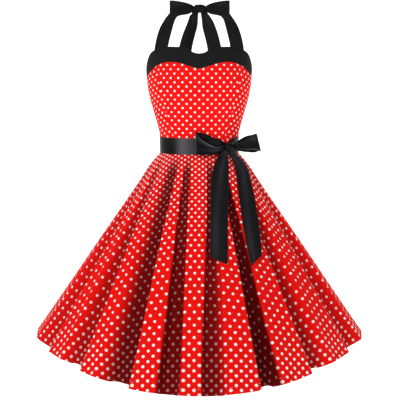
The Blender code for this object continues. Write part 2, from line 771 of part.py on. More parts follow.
def waist_tail(name, table, cut, twist):
    """A tail that hangs from the waist knot over the skirt's crests."""
    stations = numbered(table)
    highest = float(SKIRT_FOLDS[:, 6].max())

    def edges(t):
        middle, angle, half, out = along(stations, t)
        outward = math.radians(angle)
        ends = []
        for side in (-1.0, 1.0):
            z = middle - side * cut * t ** WAIST_CUT_POWER
            share = (z - WAIST_SEAM_Z) / (HEM_Z - WAIST_SEAM_Z)
            section = along(SKIRT_SECTIONS, z)
            turn = side * math.degrees(half / float(section[1]))
            reach = COTTON + out + 0.75 * highest * fold_growth(share)
            reach += twist * t * (2.0 - t) * max(side, 0.0)
            x, y = ring_point(section, angle + turn)
            x += reach * math.sin(outward)
            y -= reach * math.cos(outward)
            ends.append(np.array((x, y, z)))
        return ends[0], ends[1]

    ribbon(name, edges, 16, 4, RIBBON, SATIN)


# ---------------------------------------------------------------- zip

def zip_tapes():
    """The zip's tapes inside the centre back seam, above and below the waist."""
    def at_back(u, z):
        return bodice_point(CENTRE_BACK + u, z)

    def below(u, share):
        angle = CENTRE_BACK + u
        return skirt_point(angle, share)

    top = BACK_TOP_Z - TAPE_DROP
    lift = -(ZIP_GAP + ZIP_TAPE)
    upper = []
    for z in np.linspace(WAIST_SEAM_Z + 0.5 * SEAM_GAP, top, TAPE_ROWS):
        half = math.degrees(ZIP_HALF_WIDTH / float(along(BODICE_SECTIONS, z)[0]))
        upper.append([(u, z) for u in np.linspace(-half, half, TAPE_COLUMNS)])
    surface_wall("zip_tape_upper", at_back, upper, ZIP_TAPE, COTTON_BLACK, lift=lift)
    lower = []
    end = (ZIP_BOTTOM_Z - WAIST_SEAM_Z) / (HEM_Z - WAIST_SEAM_Z)
    for share in (SEAM_GAP, *[row for row in SKIRT_ROWS[1:] if row < end], end):
        section = along(SKIRT_SECTIONS, WAIST_SEAM_Z + (HEM_Z - WAIST_SEAM_Z) * share)
        half = math.degrees(ZIP_LOWER_HALF_WIDTH / float(section[0]))
        lower.append([(u, share) for u in np.linspace(-half, half, TAPE_COLUMNS)])
    surface_wall("zip_tape_lower", below, lower, ZIP_TAPE, COTTON_BLACK, step=DOWNWARD_STEP, lift=lift)


def box(bm, low, high):
    """A box between two corners."""
    made = bmesh.ops.create_cube(bm, size=1.0)["verts"]
    low, high = np.array(low), np.array(high)
    for vertex in made:
        vertex.co = (low + high) / 2 + np.array(vertex.co) * (high - low)
    return made


def zip_slider():
    """The slider's outer plate with its bridge, and the pull that hangs from it."""
    seat = bodice_point(CENTRE_BACK, SLIDER_TOP_Z)[1] + COTTON + LAY_GAP
    width, depth, height = SLIDER_SIZE
    bm = bmesh.new()
    box(bm, (-width / 2, seat, SLIDER_TOP_Z - height), (width / 2, seat + depth, SLIDER_TOP_Z))
    bmesh.ops.bevel(bm, geom=bm.edges[:], offset=SLIDER_BEVEL, segments=2, affect="EDGES")
    finish("zip_slider", bm, METAL)
    pull(seat + depth)


def pull(face):
    """A drop-shaped tab, hanging from a hinge line on the slider's face."""
    bm = bmesh.new()
    pivot_z = SLIDER_TOP_Z - PIVOT_DROP
    pivot_y = face + SEAM_GAP + PIVOT_RADIUS
    outline = []
    for i in range(PULL_STEPS + 1):
        turn = math.pi * i / PULL_STEPS
        outline.append((PULL_NECK * PULL_WIDTH * 0.5 * math.cos(turn), PIVOT_RADIUS * math.sin(turn)))
    for i in range(PULL_STEPS + 1):
        turn = math.pi * (1 + i / PULL_STEPS)
        drop = -(PULL_LENGTH - PULL_WIDTH / 2)
        outline.append((0.5 * PULL_WIDTH * math.cos(turn), drop + 0.5 * PULL_WIDTH * math.sin(turn)))
    front = [bm.verts.new((x, -PULL_THICKNESS / 2, z)) for x, z in outline]
    back = [bm.verts.new((x, PULL_THICKNESS / 2, z)) for x, z in outline]
    bm.faces.new(front)
    bm.faces.new(list(reversed(back)))
    count = len(outline)
    for i in range(count):
        j = (i + 1) % count
        bm.faces.new((front[j], front[i], back[i], back[j]))
    made = finish("zip_pull", bm, METAL)
    made.location = (0.0, pivot_y, pivot_z)
    return made


# ---------------------------------------------------------------- build

for old in list(bpy.data.objects):
    bpy.data.objects.remove(old, do_unlink=True)

bodice_panels()
bust_band()
skirt_panels()
halter_straps()
neck_bow()
belt()
waist_bow()
zip_tapes()
zip_slider()
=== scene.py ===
"""The halter-neck swing dress: cloth, print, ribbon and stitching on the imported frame.

Metres, +Z up, the dress faces -Y and +X is the wearer's left.  The origin is the nape.
Angles round the body are in degrees from the centre front, positive towards +X.
"""

import math

import bpy
import numpy as np

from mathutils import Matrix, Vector


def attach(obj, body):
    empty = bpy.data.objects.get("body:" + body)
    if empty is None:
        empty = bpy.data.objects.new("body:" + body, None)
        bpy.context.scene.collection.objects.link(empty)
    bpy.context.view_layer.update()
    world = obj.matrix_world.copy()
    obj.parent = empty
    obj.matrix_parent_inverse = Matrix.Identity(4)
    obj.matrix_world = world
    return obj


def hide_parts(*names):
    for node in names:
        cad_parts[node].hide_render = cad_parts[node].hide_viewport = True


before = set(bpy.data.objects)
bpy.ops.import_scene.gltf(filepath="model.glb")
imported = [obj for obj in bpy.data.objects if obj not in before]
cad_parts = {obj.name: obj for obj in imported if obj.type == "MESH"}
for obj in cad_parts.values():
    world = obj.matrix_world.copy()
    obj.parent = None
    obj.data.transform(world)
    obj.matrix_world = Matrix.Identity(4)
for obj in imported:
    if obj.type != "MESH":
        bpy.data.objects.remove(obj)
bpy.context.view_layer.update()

# ---------------------------------------------------------------- sizes

# These repeat the solids' sizes, apart from two rows of the fold table, which are marked.

COTTON = 0.0015
RIBBON = 0.0010
SEAM_GAP = 0.0003
LAY_GAP = 0.0006
INNER_LIFT = 0.0001        # a shell's inner face lies this far out of the solid's

BODY_Y = -0.070
WAIST_SEAM_Z = -0.4405
HEM_Z = -1.030
BELT_TOP_Z = -0.3960
BELT_BOTTOM_Z = -0.4460
WAIST_NIP_Z = -0.4468
BACK_TOP_Z = -0.2070
CUP_ANGLE = 36.0
CUP_Z = -0.236
CUP_RISE = 0.013
CUP_SPREAD = 23.0
CUP_HEIGHT = 0.052
SIDE_SEAM = 90.0
CENTRE_BACK = 180.0

BODICE_SECTIONS = np.array([
    # z       half    front   back
    (-0.446, 0.1212, 0.0870, 0.0840),
    (-0.420, 0.1212, 0.0870, 0.0840),
    (-0.389, 0.1230, 0.0887, 0.0852),
    (-0.350, 0.1320, 0.0957, 0.0882),
    (-0.316, 0.1420, 0.1037, 0.0922),
    (-0.283, 0.1510, 0.1107, 0.0952),
    (-0.247, 0.1584, 0.1160, 0.0972),
    (-0.219, 0.1612, 0.1172, 0.0982),
    (-0.195, 0.1625, 0.1160, 0.0986),
    (-0.168, 0.1625, 0.1120, 0.0980),
    (-0.146, 0.1610, 0.1075, 0.0970),
    (-0.120, 0.1580, 0.0990, 0.0960),
    (-0.095, 0.1545, 0.0900, 0.0950),
])
SWEETHEART = np.array([
    # angle   z
    (0.0, -0.1886),
    (8.0, -0.1830),
    (16.0, -0.1752),
    (26.0, -0.1690),
    (38.0, -0.1692),
    (49.0, -0.1765),
    (60.0, -0.1895),
    (75.0, -0.2075),
    (90.0, -0.2195),
    (115.0, -0.2290),
    (145.0, -0.2320),
    (180.0, -0.2320),
])
BAND_TOP = np.array([
    # angle   z
    (0.0, -0.1440),
    (6.0, -0.1405),
    (12.0, -0.1300),
    (18.0, -0.1252),
    (27.0, -0.1238),
    (36.0, -0.1232),
    (48.0, -0.1268),
    (59.0, -0.1335),
    (69.0, -0.1460),
    (78.0, -0.1690),
    (90.0, -0.1960),
    (105.0, -0.2055),
    (125.0, BACK_TOP_Z),
    (180.0, BACK_TOP_Z),
])
PRINCESS_SEAM = np.array([
    # z      angle
    (-0.446, 37.0),
    (-0.375, 41.0),
    (-0.320, 45.0),
    (-0.285, 46.5),
    (-0.190, 47.5),
    (-0.120, 48.0),
])
SKIRT_SECTIONS = np.array([
    # z       half    front   back
    (WAIST_SEAM_Z, 0.1213, 0.0871, 0.0841),
    (WAIST_NIP_Z, 0.1214, 0.0872, 0.0842),
    (-0.4560, 0.1295, 0.0955, 0.0920),
    (-0.4720, 0.1430, 0.1080, 0.1050),
    (-0.5400, 0.1875, 0.1540, 0.1520),
    (-0.6100, 0.2335, 0.2030, 0.2020),
    (-0.6900, 0.2865, 0.2580, 0.2570),
    (-0.7600, 0.3325, 0.3050, 0.3040),
    (-0.8400, 0.3845, 0.3590, 0.3570),
    (-0.9300, 0.4440, 0.4190, 0.4160),
    (HEM_Z, 0.5100, 0.4860, 0.4830),
    (-1.0600, 0.5300, 0.5065, 0.5035),
])
FRONT_DIP = 0.026
CORNER_PINCH = 0.062

SKIRT_FOLDS = np.array([
    # valley  floor  sink    turn  from     to       rise    turn
    (-170.0, 1.6, 0.022, 3.0, -164.5, -158.0, 0.016, 3.0),
    (-152.0, 2.0, 0.026, 2.0, -146.5, -140.5, 0.018, 0.0),
    (-134.5, 1.2, 0.020, -3.0, -129.0, -122.0, 0.014, -3.0),
    (-116.0, 2.2, 0.026, -2.0, -110.0, -104.0, 0.018, -2.0),
    (-97.0, 1.5, 0.022, -4.0, -90.0, -79.0, 0.014, -4.0),
    (-69.0, 1.5, 0.014, -6.0, -62.5, -55.0, 0.012, -6.0),
    (-47.5, 1.6, 0.024, -9.0, -40.5, -35.0, 0.017, -9.0),
    (-24.6, 2.6, 0.029, -5.0, -20.2, -12.9, 0.025, -5.0),
    (-9.0, 2.1, 0.014, -4.5, -5.2, 0.2, 0.015, 9.0),
    (2.9, 1.3, 0.012, 9.5, 9.5, 18.2, 0.016, 5.0),
    (21.2, 1.7, 0.029, 6.0, 25.7, 37.6, 0.018, 4.0),   # up to 2.6 degrees off the solids
    (42.4, 1.5, 0.025, 4.0, 50.0, 60.5, 0.016, 4.0),   # 0.9 degrees off the solids
    (70.0, 1.5, 0.015, 5.0, 77.0, 86.0, 0.015, 5.0),
    (97.0, 1.5, 0.023, 3.0, 102.5, 109.0, 0.017, 3.0),
    (115.5, 2.0, 0.026, 2.0, 121.0, 128.5, 0.018, 2.0),
    (134.5, 1.2, 0.019, -2.0, 139.0, 145.0, 0.015, -2.0),
    (151.0, 2.0, 0.026, -3.0, 156.0, 163.0, 0.018, -3.0),
    (171.0, 1.4, 0.021, -1.0, 176.5, 184.0, 0.015, -1.0),
])
FOLD_GROWTH = 0.85
CREST_FALL = 0.9
HEM_LIFT = 0.45
# How dark each valley is painted, in the order of the fold table, set against the photo
# Painted shade: each number darkens the colour of a valley's floor and walls
VALLEY_PAINTED_SHADE = (
    0.55, 0.6, 0.55, 0.6, 0.5, 0.35, 0.6, 0.93, 0.90,
    0.88, 1.0, 0.62, 0.35, 0.5, 0.6, 0.55, 0.6, 0.55,
)
NIP_SHARE = (WAIST_SEAM_Z - WAIST_NIP_Z) / (WAIST_SEAM_Z - HEM_Z)

# ---------------------------------------------------------------- surfaces


def along(table, at):
    """Smooth interpolation of a table's other columns at values of its first column."""
    order = np.argsort(table[:, 0])
    xs = table[order, 0]
    ys = table[order, 1:]
    slopes = np.gradient(ys, xs, axis=0)
    at = np.clip(np.asarray(at, float), xs[0], xs[-1])
    i = np.clip(np.searchsorted(xs, at) - 1, 0, len(xs) - 2)
    width = (xs[i + 1] - xs[i])[..., None]
    t = (at - xs[i])[..., None] / width
    start = (1 + 2 * t) * (1 - t) ** 2 * ys[i] + t * t * (3 - 2 * t) * ys[i + 1]
    return start + t * (1 - t) ** 2 * width * slopes[i] - t * t * (1 - t) * width * slopes[i + 1]


def eased(t):
    t = np.clip(t, 0.0, 1.0)
    return t * t * (3 - 2 * t)


def bump(x, width):
    """A soft rise of height one and that half width."""
    return np.exp(-(x / width) ** 2)


def ring(section, angle):
    turn = np.radians(angle)
    depth = np.where(np.cos(turn) > 0, section[..., 1], section[..., 2])
    return section[..., 0] * np.sin(turn), BODY_Y - depth * np.cos(turn)


def bodice_surface(angle, z):
    section = along(BODICE_SECTIONS, z).copy()
    side = (np.abs(angle) - CUP_ANGLE) / CUP_SPREAD
    level = (z - CUP_Z) / CUP_HEIGHT
    section[..., 1] += CUP_RISE * np.exp(-side * side - level * level)
    x, y = ring(section, angle)
    return np.stack((x, y, z + 0 * x), axis=-1)


STEEP_WALL = 3.1           # a valley's wall narrower than this, in degrees, is dark from its edge


def valley_painted_shade(angle):
    """How much shade is painted on the cloth: the floor of each valley and its walls, from crest to crest."""
    total = np.zeros_like(angle)
    before = np.roll(SKIRT_FOLDS[:, 5], 1)
    before[0] -= 360.0
    for row, start, dark in zip(SKIRT_FOLDS, before, VALLEY_PAINTED_SHADE):
        left = row[0] - row[1] - start
        right = row[4] - row[0] - row[1]
        fade_in = 0.5 if left < STEEP_WALL else 0.85 * left
        fade_out = 0.5 if right < STEEP_WALL else 0.85 * right
        for wrap in (-360.0, 0.0, 360.0):
            rising = eased((angle - wrap - start) / fade_in)
            falling = eased((row[4] + wrap - angle) / fade_out)
            total = np.maximum(total, dark * np.minimum(rising, falling))
    return total


FOLD_STEP = 0.05           # degrees between the entries of the folds' look-up table
FOLD_SOFTNESS = 0.42       # degrees over which the folds' corners are rounded


def fold_table():
    """Height, turn and painted shade of the folds in fine steps of angle, over more than one round."""
    knots = []
    for valley, floor, sink, turn, start, end, rise, end_turn in SKIRT_FOLDS:
        knots.append((valley - floor, -sink, turn))
        knots.append((valley + floor, -sink, turn))
        knots.append((start, rise, turn))
        knots.append((end, rise * CREST_FALL, end_turn))
    knots = np.array(knots)
    shift = np.array((360.0, 0.0, 0.0))
    knots = np.vstack((knots - shift, knots, knots + shift))
    angle = np.arange(-260.0, 260.0, FOLD_STEP)
    i = np.searchsorted(knots[:, 0], angle) - 1
    low, high = knots[i], knots[i + 1]
    t = (angle - low[:, 0]) / (high[:, 0] - low[:, 0])
    values = low[:, 1:] + (high[:, 1:] - low[:, 1:]) * eased(t)[:, None]
    values = np.column_stack((values, valley_painted_shade(angle)))
    reach = int(3 * FOLD_SOFTNESS / FOLD_STEP)
    kernel = np.exp(-0.5 * (np.arange(-reach, reach + 1) * FOLD_STEP / FOLD_SOFTNESS) ** 2)
    kernel /= kernel.sum()
    values[:, 0] = np.convolve(values[:, 0], kernel, mode="same")
    return angle, values


FOLD_ANGLES, FOLD_VALUES = fold_table()


def fold_values(angle):
    """Height, turn and painted shade of the folds at angles."""
    return [np.interp(angle, FOLD_ANGLES, FOLD_VALUES[:, column]) for column in range(3)]


def fold_growth(share):
    return np.maximum(share - NIP_SHARE, 0.0) ** FOLD_GROWTH


def skirt_surface(angle, share):
    height, turn, _ = fold_values(angle)
    here = angle + turn * (1.0 - share) ** 2
    radians = np.radians((here + 180.0) % 360.0 - 180.0)
    dip = np.where(np.abs(radians) < math.pi / 3, np.maximum(np.cos(1.5 * radians), 0.0) ** 2, 0.0)
    z = WAIST_SEAM_Z + (HEM_Z - WAIST_SEAM_Z) * share * (1.0 + FRONT_DIP * dip * share)
    pinch = CORNER_PINCH * share * np.abs(np.sin(radians)) * np.sin(2.0 * radians) ** 2
    section = along(SKIRT_SECTIONS, z) * (1.0 - pinch)[..., None]
    x, y = ring(section, here)
    reach = height * fold_growth(share)
    outward = np.radians(here)
    x = x + reach * np.sin(outward)
    y = y - reach * np.cos(outward)
    z = z + np.maximum(reach, -0.012) * HEM_LIFT * share
    return np.stack((x, y, z), axis=-1)


def grid_normals(points, outward_from):
    """Unit normals of a grid of points, turned away from a vertical axis or a given side."""
    across = np.gradient(points, axis=1)
    down = np.gradient(points, axis=0)
    normal = np.cross(across, down)
    normal /= np.linalg.norm(normal, axis=-1, keepdims=True)
    out = points - np.array(outward_from)
    out[..., 2] *= 0.2
    if (normal * out).sum() < 0:
        normal = -normal
    return normal


# ---------------------------------------------------------------- meshes


def shell(name, inner, outer, uvs, attributes, node, shader, wrap=False):
    """A closed thin shell between two grids, with texture coordinates and point attributes."""
    rows, columns = inner.shape[:2]
    count = rows * columns
    points = np.concatenate((inner.reshape(-1, 3), outer.reshape(-1, 3)))
    last = columns if wrap else columns - 1
    r, c = np.meshgrid(np.arange(rows - 1), np.arange(last), indexing="ij")
    r, c = r.ravel(), c.ravel()
    d = (c + 1) % columns
    quad = np.stack((r * columns + c, r * columns + d, (r + 1) * columns + d, (r + 1) * columns + c), axis=1)
    faces = [quad[:, ::-1], quad + count]
    c = np.arange(last)
    d = (c + 1) % columns
    for row, flip in ((0, False), (rows - 1, True)):
        rim = np.stack((row * columns + c, row * columns + d, count + row * columns + d,
                        count + row * columns + c), axis=1)
        faces.append(rim[:, ::-1] if flip else rim)
    if not wrap:
        r = np.arange(rows - 1)
        for column, flip in ((0, True), (columns - 1, False)):
            rim = np.stack((r * columns + column, (r + 1) * columns + column,
                            count + (r + 1) * columns + column, count + r * columns + column), axis=1)
            faces.append(rim[:, ::-1] if not flip else rim)
    faces = np.concatenate(faces)
    mesh = bpy.data.meshes.new(name)
    mesh.vertices.add(len(points))
    mesh.vertices.foreach_set("co", points.astype(np.float32).ravel())
    mesh.loops.add(len(faces) * 4)
    mesh.loops.foreach_set("vertex_index", faces.astype(np.int32).ravel())
    mesh.polygons.add(len(faces))
    mesh.polygons.foreach_set("loop_start", np.arange(len(faces), dtype=np.int32) * 4)
    mesh.polygons.foreach_set("loop_total", np.full(len(faces), 4, np.int32))
    mesh.update(calc_edges=True)
    both = np.concatenate((uvs.reshape(-1, 2), uvs.reshape(-1, 2)))
    layer = mesh.uv_layers.new(name="cells")
    layer.data.foreach_set("uv", both[faces.ravel()].astype(np.float32).ravel())
    for key, values in attributes.items():
        made = mesh.attributes.new(key, "FLOAT", "POINT")
        flat = np.broadcast_to(values, (rows, columns)).reshape(-1)
        made.data.foreach_set("value", np.concatenate((flat, flat)).astype(np.float32))
    mesh.shade_smooth()
    mesh.set_sharp_from_angle(angle=math.radians(50.0))
    face_outwards(mesh)
    mesh.materials.append(shader)
    made = linked(name, mesh)
    keep(made, node)
    return made


def face_outwards(mesh):
    """Turns the faces round if the shell's volume comes out negative."""
    co = np.zeros(len(mesh.vertices) * 3, np.float32)
    mesh.vertices.foreach_get("co", co)
    co = co.reshape(-1, 3).astype(float)
    index = np.zeros(len(mesh.loops), np.int32)
    mesh.loops.foreach_get("vertex_index", index)
    quad = index.reshape(-1, 4)
    total = 0.0
    for a, b, c in ((0, 1, 2), (0, 2, 3)):
        total += np.einsum("ij,ij->i", co[quad[:, a]], np.cross(co[quad[:, b]], co[quad[:, c]])).sum()
    if total < 0:
        mesh.flip_normals()


def linked(name, mesh):
    """A new object in the scene with that mesh, light or camera."""
    made = bpy.data.objects.new(name, mesh)
    bpy.context.scene.collection.objects.link(made)
    return made


def keep(made, node):
    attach(made, "dress")
    if node:
        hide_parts(node)


# ---------------------------------------------------------------- materials


class Nodes:
    """Short hand for building a material's nodes."""

    def __init__(self, name):
        self.material = bpy.data.materials.new(name)
        self.material.use_nodes = True
        self.tree = self.material.node_tree
        self.shader = self.tree.nodes["Principled BSDF"]

    def add(self, kind, **values):
        node = self.tree.nodes.new(kind)
        for key, value in values.items():
            setattr(node, key, value)
        return node

    def link(self, source, target):
        self.tree.links.new(source, target)

    def put(self, value, socket):
        if isinstance(value, (int, float)):
            socket.default_value = value
        else:
            self.link(value, socket)

    def math(self, operation, a, b=0.0, c=0.0):
        node = self.add("ShaderNodeMath", operation=operation)
        for value, socket in zip((a, b, c), node.inputs):
            self.put(value, socket)
        return node.outputs[0]

    def ramp(self, value, low, high, start=0.0, end=1.0):
        node = self.add("ShaderNodeMapRange", interpolation_type="SMOOTHSTEP")
        self.put(value, node.inputs["Value"])
        for key, number in (("From Min", low), ("From Max", high), ("To Min", start), ("To Max", end)):
            node.inputs[key].default_value = number
        return node.outputs["Result"]

    def mix(self, share, a, b):
        node = self.add("ShaderNodeMix", data_type="RGBA")
        self.put(share, node.inputs[0])
        for value, socket in ((a, node.inputs[6]), (b, node.inputs[7])):
            if isinstance(value, tuple):
                socket.default_value = (*value, 1.0)
            else:
                self.link(value, socket)
        return node.outputs[2]

    def attribute(self, name):
        return self.add("ShaderNodeAttribute", attribute_name=name).outputs["Fac"]

    def noise(self, scale, detail=2.0, vector=None):
        node = self.add("ShaderNodeTexNoise")
        node.inputs["Scale"].default_value = scale
        node.inputs["Detail"].default_value = detail
        if vector is not None:
            self.link(vector, node.inputs["Vector"])
        return node.outputs["Fac"]

    def bump(self, height, distance, strength=1.0, normal=None):
        node = self.add("ShaderNodeBump")
        node.inputs["Strength"].default_value = strength
        node.inputs["Distance"].default_value = distance
        self.link(height, node.inputs["Height"])
        if normal is not None:
            self.link(normal, node.inputs["Normal"])
        return node.outputs["Normal"]


RED = (0.80, 0.006, 0.004)
PAINTED_SHADE_RED = (0.085, 0.0006, 0.0008)
WHITE = (0.86, 0.84, 0.80)
SPOT_METRIC = ("spot_uu", "spot_uv", "spot_vu", "spot_vv")  # from the lattice to spot radii on the cloth
SPOT_ON_BODICE = 0.0030     # radius of a spot, in metres
SPOT_ON_SKIRT = (0.0030, 0.0042)  # at the waist and at the hem
SPOT_EDGE = 0.07


def dotted_cotton():
    """Red cotton with a half-drop repeat of white spots; painted shade darkens the pressed-in folds."""
    n = Nodes("dotted_cotton_cloth")
    uv = n.add("ShaderNodeUVMap", uv_map="cells")
    split = n.add("ShaderNodeSeparateXYZ")
    n.link(uv.outputs[0], split.inputs[0])
    u, v = split.outputs[0], split.outputs[1]
    pairs = (SPOT_METRIC[:2], SPOT_METRIC[2:])
    metric = [(n.attribute(first), n.attribute(second)) for first, second in pairs]
    spots = []
    for shift in (0.0, 0.5):
        du = n.math("SUBTRACT", n.math("FRACT", n.math("ADD", u, shift)), 0.5)
        dv = n.math("SUBTRACT", n.math("FRACT", n.math("ADD", v, shift)), 0.5)
        reach = [n.math("MULTIPLY_ADD", du, across, n.math("MULTIPLY", dv, down)) for across, down in metric]
        squared = n.math("MULTIPLY_ADD", reach[0], reach[0], n.math("POWER", reach[1], 2.0))
        spots.append(n.math("SQRT", squared))
    nearest = n.math("MINIMUM", spots[0], spots[1])
    object_co = n.add("ShaderNodeTexCoord").outputs["Object"]
    ragged = n.math("MULTIPLY", n.math("SUBTRACT", n.noise(1400.0, 1.0, object_co), 0.5), 0.12)
    spot = n.ramp(n.math("ADD", nearest, ragged), 1.0 + SPOT_EDGE, 1.0 - SPOT_EDGE)
    painted_shade_and_sheen = n.attribute("painted_shade_and_sheen")
    tone = n.noise(9.0, 3.0, object_co)
    red = n.mix(n.math("MULTIPLY", n.math("SUBTRACT", tone, 0.4), 0.25), RED, (0.66, 0.004, 0.004))
    # Painted shade: the attribute darkens the red and the white spots in the valleys of the folds
    red_in_painted_shade = n.mix(painted_shade_and_sheen, red, PAINTED_SHADE_RED)
    spots_in_painted_shade = n.mix(painted_shade_and_sheen, WHITE, (0.26, 0.075, 0.075))
    n.link(n.mix(spot, red_in_painted_shade, spots_in_painted_shade), n.shader.inputs["Base Color"])
    n.shader.inputs["Roughness"].default_value = 0.82
    n.shader.inputs["Specular IOR Level"].default_value = 0.05
    fine = n.noise(2600.0, 2.0, object_co)
    soft = n.noise(34.0, 3.0, object_co)
    first = n.bump(fine, 0.00012, 0.5)
    n.link(n.bump(soft, 0.0012, 0.35, first), n.shader.inputs["Normal"])
    return n.material


def black_cotton():
    n = Nodes("black_cotton_cloth")
    object_co = n.add("ShaderNodeTexCoord").outputs["Object"]
    tone = n.noise(12.0, 3.0, object_co)
    dark = n.mix(tone, (0.005, 0.005, 0.0052), (0.008, 0.008, 0.0083))
    # Painted highlights: the attribute lightens the black cotton towards this grey on the neck bow
    n.link(n.mix(n.attribute("painted_shade_and_sheen"), dark, (0.050, 0.050, 0.052)), n.shader.inputs["Base Color"])
    n.shader.inputs["Roughness"].default_value = 0.78
    n.shader.inputs["Specular IOR Level"].default_value = 0.12
    n.shader.inputs["Sheen Weight"].default_value = 0.01
    n.shader.inputs["Sheen Roughness"].default_value = 0.45
    first = n.bump(n.noise(2400.0, 2.0, object_co), 0.00012, 0.6)
    n.link(n.bump(n.noise(40.0, 3.0, object_co), 0.0012, 0.4, first), n.shader.inputs["Normal"])
    return n.material


PAINTED_SHEEN = (0.085, 0.082, 0.094)


def black_satin():
    """Ribbon with a soft sheen along its length: painted highlights in its colour over a weak real gloss."""
    n = Nodes("black_satin_ribbon")
    object_co = n.add("ShaderNodeTexCoord").outputs["Object"]
    dark = n.mix(n.noise(15.0, 2.0, object_co), (0.003, 0.003, 0.0031), (0.006, 0.006, 0.0063))
    # Painted highlights: the attribute lightens the black satin towards this grey
    n.link(n.mix(n.attribute("painted_shade_and_sheen"), dark, PAINTED_SHEEN), n.shader.inputs["Base Color"])
    n.shader.inputs["Roughness"].default_value = 0.28
    n.shader.inputs["Specular IOR Level"].default_value = 0.07
    first = n.bump(n.noise(3000.0, 1.0, object_co), 0.00005, 0.35)
    n.link(n.bump(n.noise(26.0, 2.0, object_co), 0.0015, 0.35, first), n.shader.inputs["Normal"])
    return n.material


def zip_metal():
    n = Nodes("zip_metal_lacquer")
    n.shader.inputs["Base Color"].default_value = (0.03, 0.03, 0.033, 1.0)
    n.shader.inputs["Metallic"].default_value = 0.7
    rough = n.ramp(n.noise(900.0, 2.0, n.add("ShaderNodeTexCoord").outputs["Object"]), 0.3, 0.7, 0.24, 0.38)
    n.link(rough, n.shader.inputs["Roughness"])
    return n.material


DOTTED = dotted_cotton()
MATTE = black_cotton()
SATIN = black_satin()
METAL = zip_metal()

# ---------------------------------------------------------------- the print

SPOT_COLUMNS_AT_WAIST = 0.56   # turn of the print's lattice for a turn round the body, at the waist
SPOT_TURN_ON_CREST = 0.54      # and lower down, where the cloth lies flat and on the steep walls
SPOT_TURN_ON_WALL = 0.85
SIDE_SPREAD = 0.32             # the front's cloth lies flatter towards the side seams
SPOT_RADIUS_AT_WAIST = 9.5     # lattice cells from the middle of the cut to the waist
# Cell height down the cloth, by share of the skirt's length
SPOT_ROWS = np.array([
    # share  rows counted from the waist
    (0.00, 0.0),
    (0.04, 1.9),
    (0.10, 4.3),
    (0.18, 7.0),
    (0.30, 10.6),
    (0.45, 14.2),
    (0.60, 17.3),
    (0.75, 20.2),
    (0.88, 23.2),
    (1.00, 26.6),
])


def spot_turn_table():
    """Turn of the print round the body, gathered up over crests and valleys."""
    angles = np.linspace(-190.0, 190.0, 1521)
    height = fold_values(angles)[0]
    steep = np.abs(np.gradient(height, angles)) / 0.020
    rate = SPOT_TURN_ON_CREST + (SPOT_TURN_ON_WALL - SPOT_TURN_ON_CREST) * eased(steep)
    rate *= 1.0 - SIDE_SPREAD * np.sin(np.radians(angles)) ** 2 * (np.abs(angles) < SIDE_SEAM)
    turned = np.concatenate(([0.0], np.cumsum(0.5 * (rate[1:] + rate[:-1]) * np.diff(angles))))
    return angles, turned - np.interp(0.0, angles, turned)


SPOT_ANGLES, SPOT_TURNS = spot_turn_table()


def skirt_print(angle, share, middle):
    """Lattice coordinates of the spots on a skirt panel whose grain runs down its middle."""
    angle = angle + fold_values(angle)[1] * (1.0 - share) ** 2
    along_folds = np.interp(angle, SPOT_ANGLES, SPOT_TURNS) - np.interp(middle, SPOT_ANGLES, SPOT_TURNS)
    plain = SPOT_COLUMNS_AT_WAIST * (angle - middle)
    turn = np.radians(plain + (along_folds - plain) * eased(share / 0.55))
    radius = SPOT_RADIUS_AT_WAIST + along(SPOT_ROWS, share)[..., 0]
    return np.stack((radius * np.sin(turn), -radius * np.cos(turn)), axis=-1)


def spot_metric(points, cells, radius):
    """For each point, what turns an offset in the lattice into an offset on the cloth, in spot radii."""
    by_column, by_row = np.gradient(points, axis=1), np.gradient(points, axis=0)
    length = np.linalg.norm(by_column, axis=-1)
    skew = np.einsum("ijk,ijk->ij", by_row, by_column) / length
    height = np.linalg.norm(by_row - by_column * (skew / length)[..., None], axis=-1)
    uc, vc = np.moveaxis(np.gradient(cells, axis=1), -1, 0)
    ur, vr = np.moveaxis(np.gradient(cells, axis=0), -1, 0)
    scale = 1.0 / ((uc * vr - ur * vc) * radius)
    values = ((length * vr - skew * vc) * scale, (skew * uc - length * ur) * scale,
              -height * vc * scale, height * uc * scale)
    return dict(zip(SPOT_METRIC, values))


BODICE_CELL = (0.0226, 0.0253)   # width and height of the lattice on the bodice


def bodice_print(angle, z, lean):
    """Lattice coordinates on the bodice: round the body and up, turned a little on a side piece."""
    section = along(BODICE_SECTIONS, np.clip(z, -0.40, -0.2))
    run = np.radians(angle) * (0.62 * section[..., 0] + 0.38 * section[..., 1]) / BODICE_CELL[0]
    rise = z / BODICE_CELL[1]
    turn = math.radians(lean)
    return np.stack((run * math.cos(turn) - rise * math.sin(turn),
                     run * math.sin(turn) + rise * math.cos(turn)), axis=-1)


# ---------------------------------------------------------------- skirt

